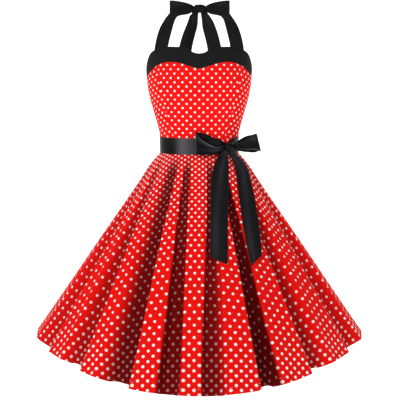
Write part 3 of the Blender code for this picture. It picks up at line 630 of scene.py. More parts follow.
# Softer creases between the folds, in shares of the length: angle, start, end, width, depth
SKIRT_CREASES = np.array([
    # angle   start  end    width  depth
    (-83.0, 0.02, 0.62, 2.2, -0.0030),
    (-76.0, 0.28, 1.00, 2.6, 0.0034),
    (-58.5, 0.05, 0.95, 1.5, -0.0030),
    (-52.0, 0.00, 0.45, 1.8, 0.0026),
    (-43.5, 0.35, 1.00, 1.3, -0.0022),
    (-33.0, 0.00, 0.52, 1.5, -0.0024),
    (-24.5, 0.00, 0.30, 1.2, 0.0018),
    (-17.2, 0.45, 1.00, 2.0, -0.0018),
    (-3.0, 0.50, 1.00, 1.6, -0.0016),
    (7.5, 0.30, 1.00, 1.0, -0.0030),
    (14.0, 0.42, 1.00, 1.6, 0.0018),
    (26.0, 0.10, 0.60, 1.1, 0.0020),
    (33.0, 0.35, 1.00, 1.7, -0.0020),
    (46.0, 0.25, 1.00, 1.4, 0.0026),
    (55.5, 0.05, 0.85, 1.6, -0.0032),
    (64.0, 0.30, 1.00, 2.0, 0.0028),
    (80.0, 0.00, 0.70, 2.0, -0.0030),
    (93.0, 0.20, 0.95, 1.8, 0.0024),
    (106.0, 0.00, 0.66, 1.6, -0.0026),
    (118.5, 0.30, 1.00, 1.4, 0.0026),
    (126.0, 0.00, 0.48, 1.8, -0.0030),
    (142.0, 0.24, 1.00, 1.5, -0.0024),
    (148.0, 0.00, 0.55, 1.3, 0.0022),
    (160.0, 0.38, 1.00, 1.9, -0.0022),
    (-94.0, 0.10, 0.78, 1.8, -0.0030),
    (-107.0, 0.34, 1.00, 1.6, -0.0024),
    (-119.0, 0.00, 0.50, 1.5, 0.0026),
    (-126.0, 0.28, 1.00, 2.0, -0.0028),
    (-141.5, 0.00, 0.62, 1.5, 0.0024),
    (-149.0, 0.40, 1.00, 1.3, -0.0022),
    (-161.0, 0.12, 0.90, 1.8, -0.0026),
])
EDGE_BOW = 0.0022          # a crest stands a little prouder along its edges, where it turns in


def skirt_relief(angle, share):
    """Height of the small creases over the folds, in metres."""
    relief = np.zeros(np.broadcast(angle, share).shape)
    for where, start, end, width, depth in SKIRT_CREASES:
        middle = 0.5 * (start + end)
        half = 0.5 * (end - start)
        if end < 1.0:
            fade = np.clip(1.2 - np.abs(share - middle) / half, 0.0, 1.0)
        else:
            fade = np.clip((share - start) / 0.3, 0.0, 1.0)
        wander = 0.9 * np.sin(4.0 * share + where)
        relief += depth * eased(fade) * bump(angle - where - wander, width) * (0.35 + 0.65 * share)
    for edge_pair in SKIRT_FOLDS[:, 4:6]:
        for edge in edge_pair:
            for wrap in (-360.0, 0.0, 360.0):
                relief += EDGE_BOW * eased(share * 1.3) * bump(angle - edge - wrap, 1.1)
    return relief


def skirt_painted_shade(angle, share):
    """Painted shade on the pressed-in cloth, from just below the belt."""
    return fold_values(angle)[2] * eased(share / 0.10)


def fold_columns(start, end, step):
    """Angles of a panel's columns, closer together on the steep walls of the folds."""
    fine = np.arange(start, end + 0.5 * FOLD_STEP, FOLD_STEP)
    slope = np.abs(np.gradient(fold_values(fine)[0], fine)) / 0.012
    travel = np.concatenate(([0.0], np.cumsum(FOLD_STEP * (1.0 + 1.6 * np.clip(slope[1:], 0.0, 1.5)))))
    count = int(travel[-1] / step) + 1
    return np.interp(np.linspace(0.0, travel[-1], count), travel, fine)


ARC_PER_DEGREE = 17.45     # millimetres of arc in a degree, for a radius of one metre


def skirt_piece(name, node, start, end, middle, step, rows):
    share = np.linspace(0.0, 1.0, rows)[:, None] ** 1.15
    at_nip = np.array(((0.0,), (NIP_SHARE * 0.5,), (NIP_SHARE,)))
    share = np.concatenate((at_nip, share[1:]))
    share = np.sort(share, axis=0)
    section = along(SKIRT_SECTIONS, WAIST_SEAM_Z + (HEM_Z - WAIST_SEAM_Z) * share[:, 0])
    turn = np.degrees(0.5 * SEAM_GAP / section[:, 1])[:, None]
    across = (fold_columns(start, end, step)[None, :] - start) / (end - start)
    angle = start + turn + (end - start - 2 * turn) * across
    share = np.broadcast_to(share, angle.shape)
    base = skirt_surface(angle, share)
    normal = grid_normals(base, (0.0, BODY_Y, -0.3))
    relief = skirt_relief(angle, share)
    arc = section[:, :1] * ARC_PER_DEGREE
    seam = -0.0010 * (bump((angle - start) * arc, 3.0) + bump((angle - end) * arc, 3.0))
    hem = 0.0005 * eased((share - 0.972) / 0.004)
    inner = base + normal * (relief + INNER_LIFT)[..., None]
    outer = base + normal * (relief + seam + hem + COTTON)[..., None]
    uvs = skirt_print(angle, share, middle)
    radius = SPOT_ON_SKIRT[0] + (SPOT_ON_SKIRT[1] - SPOT_ON_SKIRT[0]) * share
    # Painted shade down the folds' valleys goes into the attribute, with the spots' lattice metric
    attributes = {"painted_shade_and_sheen": skirt_painted_shade(angle, share), **spot_metric(base, uvs, radius)}
    return shell(name, inner, outer, uvs, attributes, node, DOTTED)


SKIRT_STEP = 0.62          # degrees between the columns of a panel where the cloth lies flat
SKIRT_ROWS = 112
# The three panels: the end of their names, both seams and the middle of the cut, in degrees
SKIRT_PANELS = (
    ("front", -SIDE_SEAM, SIDE_SEAM, 0.0),
    ("back_left", SIDE_SEAM, CENTRE_BACK, CENTRE_BACK),
    ("back_right", -CENTRE_BACK, -SIDE_SEAM, -CENTRE_BACK),
)
for part, start, end, middle in SKIRT_PANELS:
    skirt_piece("cloth_skirt_" + part, "skirt_" + part, start, end, middle, SKIRT_STEP, SKIRT_ROWS)

# ---------------------------------------------------------------- bodice and bust band


MEAN_RADIUS = 0.13         # of the bodice, for turning degrees into lengths


def bodice_piece(name, node, left, right, lean, columns=73, rows=81):
    """A panel between two seams given as rules of height."""
    turn = math.degrees(0.5 * SEAM_GAP / 0.10)
    bottom = WAIST_SEAM_Z + SEAM_GAP
    level = np.linspace(0.0, 1.0, rows)[:, None]
    across = np.linspace(0.0, 1.0, columns)[None, :]
    z = np.full((rows, columns), bottom + 0.5 * (CUP_Z - bottom))
    for _ in range(6):
        low, high = left(z) + turn, right(z) - turn
        angle = low + (high - low) * across
        top = along(SWEETHEART, np.abs(angle))[..., 0] - 0.5 * SEAM_GAP
        z = bottom + (top - bottom) * level
    base = bodice_surface(angle, z)
    normal = grid_normals(base, (0.0, BODY_Y, -0.3))
    reach = 1000.0 * MEAN_RADIUS * math.pi / 180.0
    seam = -0.0007 * (bump((angle - low) * reach, 1.6) + bump((angle - high) * reach, 1.6))
    relief = bodice_relief(angle, z)
    inner = base + normal * (relief + INNER_LIFT)[..., None]
    outer = base + normal * (relief + seam + COTTON)[..., None]
    uvs = bodice_print(angle, z, lean)
    attributes = {"painted_shade_and_sheen": 0.0, **spot_metric(base, uvs, SPOT_ON_BODICE)}
    return shell(name, inner, outer, uvs, attributes, node, DOTTED)


# Drag lines in the bodice: angle, height, length, width, lean from the vertical in degrees, depth
BODICE_CREASES = np.array([
    # angle  z       length width   lean  depth
    (-52.0, -0.372, 0.034, 0.0055, 28.0, 0.0008),
    (-60.0, -0.350, 0.040, 0.0065, 34.0, -0.0008),
    (54.0, -0.366, 0.036, 0.0060, -30.0, 0.0008),
    (63.0, -0.345, 0.040, 0.0065, -38.0, -0.0009),
    (-22.0, -0.380, 0.030, 0.0060, 8.0, 0.0006),
    (18.0, -0.384, 0.026, 0.0055, -6.0, 0.0006),
    (-74.0, -0.300, 0.034, 0.0070, 48.0, -0.0008),
    (76.0, -0.296, 0.036, 0.0070, -50.0, -0.0008),
    (118.0, -0.366, 0.040, 0.0080, -66.0, 0.0011),
    (-121.0, -0.358, 0.038, 0.0080, 64.0, 0.0011),
    (140.0, -0.392, 0.042, 0.0070, -78.0, -0.0011),
    (-142.0, -0.388, 0.040, 0.0070, 80.0, -0.0010),
    (161.0, -0.350, 0.030, 0.0070, -70.0, 0.0009),
    (-160.0, -0.342, 0.032, 0.0070, 72.0, 0.0009),
])


def bodice_relief(angle, z):
    relief = 0.0 * (angle + z)
    for where, height, length, width, lean, depth in BODICE_CREASES:
        dx = np.radians(angle - where) * MEAN_RADIUS
        dz = z - height
        turn = math.radians(lean)
        lengthwise = dz * math.cos(turn) + dx * math.sin(turn)
        sideways = dx * math.cos(turn) - dz * math.sin(turn)
        relief = relief + depth * bump(lengthwise, length) * bump(sideways, width)
    return relief


def princess(z):
    return along(PRINCESS_SEAM, z)[..., 0]


def seam_at(angle):
    """A seam that runs straight down at an angle."""
    return lambda z: angle + 0 * z


bodice_piece("cloth_bodice_front", "bodice_front", lambda z: -princess(z), princess, 0.0, columns=97)
for part, left, right, lean in (
    ("side_front_left", princess, seam_at(SIDE_SEAM), 14.0),
    ("side_front_right", seam_at(-SIDE_SEAM), lambda z: -princess(z), -14.0),
    ("bodice_back_left", seam_at(SIDE_SEAM), seam_at(CENTRE_BACK), 0.0),
    ("bodice_back_right", seam_at(-CENTRE_BACK), seam_at(-SIDE_SEAM), 0.0),
):
    node = part if part.startswith("bodice") else "bodice_" + part
    bodice_piece("cloth_" + part, node, left, right, lean)


def band_piece(name, node, start, end, columns, rows):
    turn = math.degrees(0.5 * SEAM_GAP / 0.13)
    level = np.linspace(0.0, 1.0, rows)[:, None]
    angle = np.linspace(start + turn, end - turn, columns)[None, :] + 0 * level
    low = along(SWEETHEART, np.abs(angle))[..., 0] + 0.5 * SEAM_GAP
    high = along(BAND_TOP, np.abs(angle))[..., 0]
    z = low + (high - low) * level
    base = bodice_surface(angle, z)
    normal = grid_normals(base, (0.0, BODY_Y, -0.15))
    edge = (z - low) * 1000.0
    top = (high - z) * 1000.0
    relief = -0.0008 * bump(edge, 1.3) + 0.0004 * bump(edge - 3.0, 2.0) - 0.0004 * bump(top - 5.5, 0.8)
    relief = relief + 0.0009 * bump(angle, 2.4) * bump((z + 0.165) / 0.02, 1.0)
    relief = relief + 0.0006 * np.sin(np.radians(angle) * 7.0 + 1.0) * np.sin(level * math.pi)
    inner = base + normal * INNER_LIFT
    outer = base + normal * (relief + COTTON + 0.0002)[..., None]
    uvs = np.stack((angle * 0.0022, z), axis=-1)
    return shell(name, inner, outer, uvs, {"painted_shade_and_sheen": 0.0}, node, MATTE)


band_piece("cloth_bust_band", "bust_band_front", -SIDE_SEAM, SIDE_SEAM, 241, 33)
band_piece("cloth_back_band_left", "bust_band_back_left", SIDE_SEAM, CENTRE_BACK, 121, 17)
band_piece("cloth_back_band_right", "bust_band_back_right", -CENTRE_BACK, -SIDE_SEAM, 121, 17)

# ---------------------------------------------------------------- ribbons


def numbered(table):
    return np.column_stack((np.linspace(0.0, 1.0, len(table)), table))


def strip(name, node, near, far, thickness, shader, relief, painted_sheen=0.0):
    """A ribbon between two edges given as rows of points; relief is its height, rows by columns; its last
    argument paints highlights into its colour.
    """
    rows = near.shape[0]
    columns = relief.shape[1]
    across = np.linspace(0.0, 1.0, columns)[None, :, None]
    middle = near[:, None, :] + (far - near)[:, None, :] * across
    run = np.gradient(middle, axis=0)
    side = np.gradient(middle, axis=1)
    normal = np.cross(side, run)
    normal /= np.linalg.norm(normal, axis=-1, keepdims=True)
    middle = middle + normal * relief[..., None]
    uvs = np.stack(np.broadcast_arrays(across[..., 0], np.linspace(0, 1, rows)[:, None]), axis=-1)
    return shell(name, middle - normal * 0.5 * thickness, middle + normal * 0.5 * thickness, uvs,
                 {"painted_shade_and_sheen": painted_sheen}, node, shader)


# Halter straps, from the band over the shoulder to the nape: the outer and the inner edge
STRAP_STATIONS = np.array([
    # outer x  y        z       inner x  y        z
    (0.1352, -0.1222, -0.1310, 0.0935, -0.1512, -0.1226),
    (0.1325, -0.1165, -0.1120, 0.0905, -0.1420, -0.1070),
    (0.1275, -0.1010, -0.0870, 0.0865, -0.1240, -0.0880),
    (0.1190, -0.0800, -0.0600, 0.0815, -0.1000, -0.0660),
    (0.1060, -0.0550, -0.0350, 0.0760, -0.0760, -0.0430),
    (0.0900, -0.0300, -0.0120, 0.0680, -0.0500, -0.0270),
    (0.0680, -0.0080, 0.0060, 0.0530, -0.0230, -0.0200),
    (0.0420, 0.0060, 0.0140, 0.0370, -0.0030, -0.0160),
    (0.0199, 0.0170, 0.0115, 0.0199, 0.0170, -0.0065),
])
NECK_KNOT_CENTRE = (0.0015, 0.0235, 0.0035)
NECK_KNOT_HALF = (0.0208, 0.0118, 0.0130)
NECK_LOOP = np.array([
    # out     back    lower    upper
    (0.0212, -0.0035, -0.0110, 0.0095),
    (0.0330, -0.0080, -0.0150, 0.0145),
    (0.0520, -0.0120, -0.0200, 0.0195),
    (0.0760, -0.0120, -0.0245, 0.0235),
    (0.0900, -0.0070, -0.0255, 0.0250),
    (0.0955, 0.0010, -0.0258, 0.0250),
    (0.0900, 0.0095, -0.0250, 0.0240),
    (0.0740, 0.0150, -0.0225, 0.0215),
    (0.0500, 0.0140, -0.0180, 0.0175),
    (0.0320, 0.0090, -0.0130, 0.0125),
    (0.0212, 0.0035, -0.0100, 0.0090),
])
NECK_TAIL_LEFT = np.array([
    # z       x        y       half width
    (-0.0100, -0.0108, 0.0240, 0.0092),
    (-0.0180, -0.0165, 0.0262, 0.0132),
    (-0.0368, -0.0205, 0.0290, 0.0164),
    (-0.0550, -0.0255, 0.0320, 0.0190),
    (-0.0784, -0.0336, 0.0350, 0.0204),
    (-0.1155, -0.0437, 0.0385, 0.0214),
    (-0.1650, -0.0512, 0.0425, 0.0218),
    (-0.2150, -0.0555, 0.0450, 0.0220),
    (-0.2750, -0.0590, 0.0460, 0.0220),
])
NECK_TAIL_RIGHT = np.array([
    # z       x        y       half width
    (-0.0100, 0.0143, 0.0240, 0.0100),
    (-0.0180, 0.0195, 0.0262, 0.0135),
    (-0.0368, 0.0270, 0.0292, 0.0185),
    (-0.0550, 0.0318, 0.0325, 0.0215),
    (-0.0784, 0.0390, 0.0355, 0.0225),
    (-0.1155, 0.0482, 0.0395, 0.0228),
    (-0.1650, 0.0545, 0.0436, 0.0225),
    (-0.2150, 0.0580, 0.0460, 0.0220),
    (-0.2900, 0.0605, 0.0470, 0.0220),
])
NECK_TAIL_SLANT = 0.016
NECK_CUT_POWER = 6
WAIST_CUT_POWER = 8


def pleats(rows, columns, count, depth, phase=0.0, fade=(0.0, 1.0)):
    """Gathers across a ribbon: count of waves, their depth at both ends and in the middle."""
    t = np.linspace(0.0, 1.0, rows)[:, None]
    v = np.linspace(0.0, 1.0, columns)[None, :]
    strength = np.interp(t, np.linspace(0.0, 1.0, len(fade)), fade)
    edge = np.sin(np.pi * v) ** 0.5
    return depth * strength * np.cos(2 * math.pi * count * v + phase + 1.3 * t) * edge


def halter_straps():
    stations = numbered(STRAP_STATIONS)
    rows, columns = 90, 25
    t = np.linspace(0.0, 1.0, rows)
    row = along(stations, t)
    for name, node, side in (("cloth_strap_left", "halter_strap_left", 1.0),
                             ("cloth_strap_right", "halter_strap_right", -1.0)):
        move = np.array((NECK_KNOT_CENTRE[0], 0.0, 0.0)) * (t * t)[:, None]
        mirror = np.array((side, 1.0, 1.0))
        near, far = row[:, :3] * mirror + move, row[:, 3:] * mirror + move
        relief = pleats(rows, columns, 2.6, 0.0011 * side, 0.6, (0.1, 0.05, 0.15, 0.5, 1.0))
        v = np.linspace(0.0, 1.0, columns)[None, :]
        hem = 0.0003 * (bump(v - 0.05, 0.03) + bump(v - 0.95, 0.03))
        strip(name, node, near, far, COTTON, MATTE, relief + hem * side)


def tied_knot(name, node, centre, half, turn, shader, wraps):
    """A tied knot: a squarish lump wrapped by the pleats of its own ribbon."""
    rows, columns = 49, 96
    lat = np.linspace(-math.pi / 2, math.pi / 2, rows)[:, None]
    lon = np.linspace(0, 2 * math.pi, columns, endpoint=False)[None, :]
    x = np.cos(lat) * np.cos(lon)
    y = np.cos(lat) * np.sin(lon)
    z = np.sin(lat) + 0 * lon
    power = 2.0 / 2.7
    pleat = 1.0 + 0.030 * np.cos(wraps * z * math.pi + 1.8 * x) * np.cos(lat)
    pleat = pleat + 0.018 * np.cos(2.3 * wraps * z * math.pi + 2.6 * x + 1.0) * np.cos(lat)
    squared = [np.sign(value) * np.abs(value) ** power for value in (x, y, z)]
    local = np.stack((squared[0] * half[0] * pleat, squared[1] * half[1] * pleat,
                      squared[2] * half[2]), axis=-1)
    c, s = math.cos(math.radians(turn)), math.sin(math.radians(turn))
    world = np.stack((local[..., 0] * c - local[..., 1] * s, local[..., 0] * s + local[..., 1] * c,
                      local[..., 2]), axis=-1) + np.array(centre)
    mesh = bpy.data.meshes.new(name)
    body = world[1:-1].reshape(-1, 3)
    points = np.concatenate((body, world[:1, 0], world[-1:, 0]))
    inner_rows = rows - 2
    faces = []
    for r in range(inner_rows - 1):
        here, above = r * columns, (r + 1) * columns
        for c0 in range(columns):
            d0 = (c0 + 1) % columns
            faces.append((here + c0, here + d0, above + d0, above + c0))
    low, high = len(body), len(body) + 1
    for c0 in range(columns):
        d0 = (c0 + 1) % columns
        faces.append((low, d0, c0))
        faces.append(((inner_rows - 1) * columns + c0, (inner_rows - 1) * columns + d0, high))
    mesh.from_pydata(points.tolist(), [], faces)
    mesh.shade_smooth()
    mesh.materials.append(shader)
    made = linked(name, mesh)
    keep(made, node)
    return made


TUCK = 0.0075              # how far the tails' gathered tops reach up into their knots


def neck_bow():
    tied_knot("neck_tie_knot", "neck_knot", NECK_KNOT_CENTRE, NECK_KNOT_HALF, 0.0, MATTE, 3.2)
    loop = numbered(NECK_LOOP)
    rows, columns = 110, 25
    t = np.linspace(0.0, 1.0, rows)
    row = along(loop, t)
    centre = np.array(NECK_KNOT_CENTRE)
    v = np.linspace(0.0, 1.0, columns)[None, :]
    run = t[:, None]
    for name, node, side in (("neck_tie_loop_left", "neck_loop_left", 1.0),
                             ("neck_tie_loop_right", "neck_loop_right", -1.0)):
        foot = centre + np.stack((side * row[:, 0], row[:, 1], 0 * t), axis=-1)
        near = foot + row[:, 2:3] * np.array((0.0, 0.0, 1.0))
        far = foot + row[:, 3:4] * np.array((0.0, 0.0, 1.0))
        relief = pleats(rows, columns, 2.4, 0.0024, 0.4 * side, (0.9, 0.7, 0.3, 0.1, 0.2, 0.6, 0.9))
        # Painted highlights along the loop's pleats
        painted_sheen = 0.30 * bump(v - 0.62 - 0.5 * run, 0.10) * bump(run - 0.20, 0.13)
        painted_sheen = painted_sheen + 0.22 * bump(v - 0.25, 0.09) * bump(run - 0.30, 0.12)
        strip(name, node, near, far, RIBBON, MATTE, relief, painted_sheen)
    for name, node, table, side in (("neck_tie_tail_left", "neck_tail_left", NECK_TAIL_RIGHT, 1.0),
                                    ("neck_tie_tail_right", "neck_tail_right", NECK_TAIL_LEFT, -1.0)):
        row = along(numbered(table), t)
        slant = NECK_TAIL_SLANT * t ** NECK_CUT_POWER
        tucked = row[:, 0] + TUCK * (1.0 - eased(t / 0.06))
        near = np.stack((row[:, 1] - side * row[:, 3], row[:, 2], tucked + slant), axis=-1)
        far = np.stack((row[:, 1] + side * row[:, 3], row[:, 2], tucked - slant), axis=-1)
        relief = pleats(rows, columns, 1.6, 0.0024, 0.8 * side, (1.0, 0.9, 0.45, 0.3, 0.2))
        # Painted highlights down the tail, over an even painted lift of the whole tail
        painted_sheen = 0.34 * bump(v - 0.62 + 0.3 * run, 0.17) * bump(run - 0.16, 0.13) + 0.10
        strip(name, node, near, far, RIBBON, MATTE, relief, painted_sheen)


halter_straps()
neck_bow()

# ---------------------------------------------------------------- belt and waist bow

BELT_PINCH = 0.0155         # how far the ribbon's top edge is drawn down where the knot grips it
BELT_PINCH_SPREAD = 10.0

WAIST_KNOT_ANGLE = 43.0
WAIST_KNOT_Z = -0.4225
WAIST_KNOT_HALF = (0.0160, 0.0105, 0.0120)
INNER_LOOP_BEND = 0.118
OUTER_LOOP_LEAN = 22.0
OUTER_LOOP_FLARE = 0.0075
WAIST_TAIL_TWIST = 0.0090
WAIST_LOOP_IN = np.array([
    # out     forward lower    upper    (towards the centre front, along the bodice)
    (0.0160, 0.0000, -0.0095, 0.0095),
    (0.0280, 0.0050, -0.0130, 0.0180),
    (0.0450, 0.0105, -0.0155, 0.0300),
    (0.0640, 0.0145, -0.0170, 0.0410),
    (0.0820, 0.0155, -0.0185, 0.0455),
    (0.0940, 0.0130, -0.0192, 0.0470),
    (0.0980, 0.0085, -0.0192, 0.0475),
    (0.0930, 0.0035, -0.0185, 0.0465),
    (0.0780, 0.0005, -0.0170, 0.0430),
    (0.0580, -0.0010, -0.0155, 0.0350),
    (0.0380, -0.0020, -0.0130, 0.0220),
    (0.0160, -0.0045, -0.0095, 0.0095),
])
WAIST_LOOP_OUT = np.array([
    # out     forward lower    upper    (towards the wearer's left side)
    (0.0178, 0.0000, -0.0100, 0.0090),
    (0.0290, 0.0080, -0.0150, 0.0140),
    (0.0460, 0.0150, -0.0190, 0.0260),
    (0.0640, 0.0180, -0.0215, 0.0360),
    (0.0800, 0.0150, -0.0235, 0.0400),
    (0.0915, 0.0060, -0.0215, 0.0375),
    (0.0945, -0.0060, -0.0150, 0.0320),
    (0.0850, -0.0150, -0.0205, 0.0340),
    (0.0670, -0.0170, -0.0195, 0.0300),
    (0.0460, -0.0130, -0.0165, 0.0220),
    (0.0290, -0.0080, -0.0130, 0.0130),
    (0.0177, -0.0050, -0.0095, 0.0085),
])
# How much lower the folded-over front of each loop lies than its back, by the share of the way round
LOOP_FOLD_AT = (0.0, 0.09, 0.18, 0.27, 0.36, 0.45, 0.54, 1.0)
INNER_LOOP_FOLD = (0.0030, 0.0165, 0.0285, 0.0310, 0.0215, 0.0080, 0.0, 0.0)
OUTER_LOOP_FOLD = (0.0010, 0.0065, 0.0105, 0.0130, 0.0130, 0.0070, 0.0, 0.0)
WAIST_TAIL_IN = np.array([
    # z       angle   half    out
    (-0.4352, 38.4, 0.0080, 0.0120),
    (-0.4640, 28.6, 0.0170, 0.0072),
    (-0.5000, 22.2, 0.0215, 0.0052),
    (-0.5500, 17.8, 0.0232, 0.0040),
    (-0.6050, 14.3, 0.0232, 0.0034),
    (-0.6600, 12.0, 0.0228, 0.0030),
    (-0.7270, 9.8, 0.0225, 0.0030),
])
WAIST_TAIL_OUT = np.array([
    # z       angle   half    out
    (-0.4352, 48.8, 0.0080, 0.0120),
    (-0.4720, 54.2, 0.0190, 0.0070),
    (-0.5370, 45.0, 0.0235, 0.0040),
    (-0.6070, 37.4, 0.0240, 0.0024),
    (-0.6700, 32.9, 0.0228, 0.0018),
    (-0.7340, 29.6, 0.0190, 0.0018),
])
WAIST_TAIL_CUT_IN = 0.0105
WAIST_TAIL_CUT_OUT = -0.0125
BELT_SHEEN = (
    # angle, width, strength: highlights painted where the photo's ribbon catches the light
    (-27.0, 8.0, 0.62), (-17.0, 9.0, 0.55), (-7.0, 6.0, 0.25), (62.0, 7.0, 0.15),
    (112.0, 10.0, 0.45), (150.0, 8.0, 0.3), (-112.0, 10.0, 0.5), (-158.0, 9.0, 0.35),
)


def belt():
    rows, columns = 25, 360
    angle = np.linspace(-180.0, 180.0, columns, endpoint=False)[None, :]
    level = np.linspace(0.0, 1.0, rows)[:, None]
    near_knot = bump(angle - WAIST_KNOT_ANGLE, BELT_PINCH_SPREAD)
    z = BELT_BOTTOM_Z + level * (BELT_TOP_Z - BELT_BOTTOM_Z - BELT_PINCH * near_knot)
    angle, z, level = np.broadcast_arrays(angle, z, level)
    base = bodice_surface(angle, z)
    wrapped = np.concatenate((base[:, -1:], base, base[:, :1]), axis=1)
    normal = grid_normals(wrapped, (0.0, BODY_Y, -0.42))[:, 1:-1]
    relief = 0.0009 * bump(angle - WAIST_KNOT_ANGLE, 22.0) * np.cos(2 * math.pi * 2.2 * level + 0.02 * angle)
    relief = relief + 0.0004 * np.sin(np.radians(angle) * 5.0 + 4.0 * level) * np.sin(math.pi * level)
    lift = COTTON + LAY_GAP
    inner = base + normal * (lift + relief)[..., None]
    outer = base + normal * (lift + relief + RIBBON)[..., None]
    uvs = np.stack((angle / 360.0, level), axis=-1)
    # Painted highlights on the belt at the angles listed in BELT_SHEEN
    painted_belt_sheen = sum(share * bump(angle - middle, width) for middle, width, share in BELT_SHEEN)
    shell("satin_belt", inner, outer, uvs, {"painted_shade_and_sheen": np.clip(painted_belt_sheen, 0.0, 1.0)}, "ribbon_belt",
          SATIN, wrap=True)


def waist_frame():
    angle, z = WAIST_KNOT_ANGLE, WAIST_KNOT_Z
    beside = [bodice_surface(np.array(angle + step), np.array(z)) for step in (0.4, -0.4)]
    across = beside[0] - beside[1]
    forward = np.array((across[1], -across[0], 0.0))
    forward /= np.linalg.norm(forward)
    point = bodice_surface(np.array(angle), np.array(z))
    clear = COTTON + LAY_GAP + RIBBON + LAY_GAP + WAIST_KNOT_HALF[1] * 1.04
    return point + forward * clear, forward


def level_normals(angle, z):
    across = bodice_surface(angle + 0.4, z) - bodice_surface(angle - 0.4, z)
    normal = np.stack((across[:, 1], -across[:, 0], 0 * angle), axis=-1)
    return normal / np.linalg.norm(normal, axis=-1, keepdims=True)


def waist_bow():
    centre, forward = waist_frame()
    turn = math.degrees(math.atan2(forward[0], -forward[1]))
    tied_knot("satin_knot", "waist_knot", centre, WAIST_KNOT_HALF, turn, SATIN, 2.6)
    sideways = np.array((-forward[1], forward[0], 0.0))
    rows, columns = 130, 33
    t = np.linspace(0.0, 1.0, rows)
    up = np.array((0.0, 0.0, 1.0))

    row = along(numbered(WAIST_LOOP_IN), t)
    angle = WAIST_KNOT_ANGLE - np.degrees(row[:, 0] / INNER_LOOP_BEND)
    level = np.full(rows, WAIST_KNOT_Z)
    reach = COTTON + 2 * LAY_GAP + RIBBON + WAIST_KNOT_HALF[1] + row[:, 1]
    foot = bodice_surface(angle, level) + level_normals(angle, level) * reach[:, None]
    foot[:, 2] = centre[2]
    upper = row[:, 3] - np.interp(t, LOOP_FOLD_AT, INNER_LOOP_FOLD)
    relief = pleats(rows, columns, 2.2, 0.0022, 0.5, (0.8, 0.55, 0.2, 0.12, 0.2, 0.3, 0.5))
    v = np.linspace(0.0, 1.0, columns)[None, :]
    run = t[:, None]
    # Painted highlights on the inner loop's edge and across its fold
    painted_sheen = 0.95 * bump(v - 1.0, 0.16) * bump(run - 0.24, 0.17) + 0.5 * bump(run - 0.50, 0.022)
    painted_sheen = painted_sheen + 0.35 * bump(v - 0.45, 0.18) * bump(run - 0.17, 0.08)
    strip("satin_loop_inner", "waist_loop_right", foot + row[:, 2:3] * up, foot + upper[:, None] * up, RIBBON,
          SATIN, relief, np.clip(painted_sheen, 0.0, 1.0))

    row = along(numbered(WAIST_LOOP_OUT), t)
    lean = math.radians(OUTER_LOOP_LEAN)
    across = sideways * math.cos(lean) + forward * math.sin(lean)
    foot = centre + row[:, :1] * across + row[:, 1:2] * forward
    flare = across * (OUTER_LOOP_FLARE * (row[:, :1] / row[:, 0].max()) ** 2)
    lower = row[:, 2] + np.interp(t, LOOP_FOLD_AT, OUTER_LOOP_FOLD)
    relief = pleats(rows, columns, 2.4, 0.0022, 2.4, (0.8, 0.5, 0.2, 0.1, 0.15, 0.4, 0.6))
    # Painted highlights across the outer loop's fold and along its edge
    painted_sheen = 0.9 * bump(run - 0.455, 0.040) * (0.25 + 0.75 * v)
    painted_sheen = painted_sheen + 0.75 * bump(v, 0.07) * bump(run - 0.27, 0.14)
    painted_sheen = painted_sheen + 0.22 * bump(v - 0.75, 0.2) * bump(run - 0.30, 0.08)
    strip("satin_loop_outer", "waist_loop_left", foot + flare + lower[:, None] * up,
          foot - flare + row[:, 3:4] * up, RIBBON, SATIN, relief, np.clip(painted_sheen, 0.0, 1.0))

    for name, node, table, cut, twist, phase in (
        ("satin_tail_inner", "waist_tail_right", WAIST_TAIL_IN, WAIST_TAIL_CUT_IN, 0.0, 0.4),
        ("satin_tail_outer", "waist_tail_left", WAIST_TAIL_OUT, WAIST_TAIL_CUT_OUT, WAIST_TAIL_TWIST, 2.2),
    ):
        near, far = tail_edges(table, cut, twist, t)
        for end in (near, far):
            end[:, 2] += TUCK * (1.0 - eased(t / 0.05))
        relief = pleats(rows, columns, 1.4, 0.0016, phase, (1.0, 0.7, 0.35, 0.2, 0.25, 0.3))
        # Painted highlights down the tail, over an even painted lift
        painted_sheen = 0.07 + 0.20 * bump(v - 0.70 + 0.5 * run, 0.16) * bump(run - 0.25, 0.30)
        painted_sheen = painted_sheen + 0.18 * bump(v - 0.30, 0.20) * bump(run - 0.85, 0.22)
        strip(name, node, near, far, RIBBON, SATIN, relief, painted_sheen)


def tail_edges(table, cut, twist, t):
    row = along(numbered(table), t)
    middle, angle, half, out = row.T
    highest = float(SKIRT_FOLDS[:, 6].max())
    outward = np.radians(angle)
    ends = []
    for side in (-1.0, 1.0):
        z = middle - side * cut * t ** WAIST_CUT_POWER
        share = (z - WAIST_SEAM_Z) / (HEM_Z - WAIST_SEAM_Z)
        section = along(SKIRT_SECTIONS, z)
        turn = side * np.degrees(half / section[:, 1])
        reach = COTTON + out + 0.75 * highest * fold_growth(share)
        reach = reach + twist * t * (2.0 - t) * max(side, 0.0)
        x, y = ring(section, angle + turn)
        x = x + reach * np.sin(outward)
        y = y - reach * np.cos(outward)
        ends.append(np.stack((x, y, z), axis=-1))
    return ends


belt()
waist_bow()

# ---------------------------------------------------------------- zip, in the solids' own pieces

for node, shader in (("zip_tape_upper", MATTE), ("zip_tape_lower", MATTE),
                     ("zip_slider", METAL), ("zip_pull", METAL)):
    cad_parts[node].data.materials.clear()
    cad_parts[node].data.materials.append(shader)

# ---------------------------------------------------------------- sewing and zip teeth

STITCH = (0.0026, 0.0004, 0.0003)    # length, width and height of a stitch, in metres
STITCH_PITCH = 0.0037
TOOTH = (0.0006, 0.0017, 0.0009)
TOOTH_PITCH = 0.00125
TEETH_DEPTH = 0.0024       # from the outside of the body's form in to the middle of the teeth


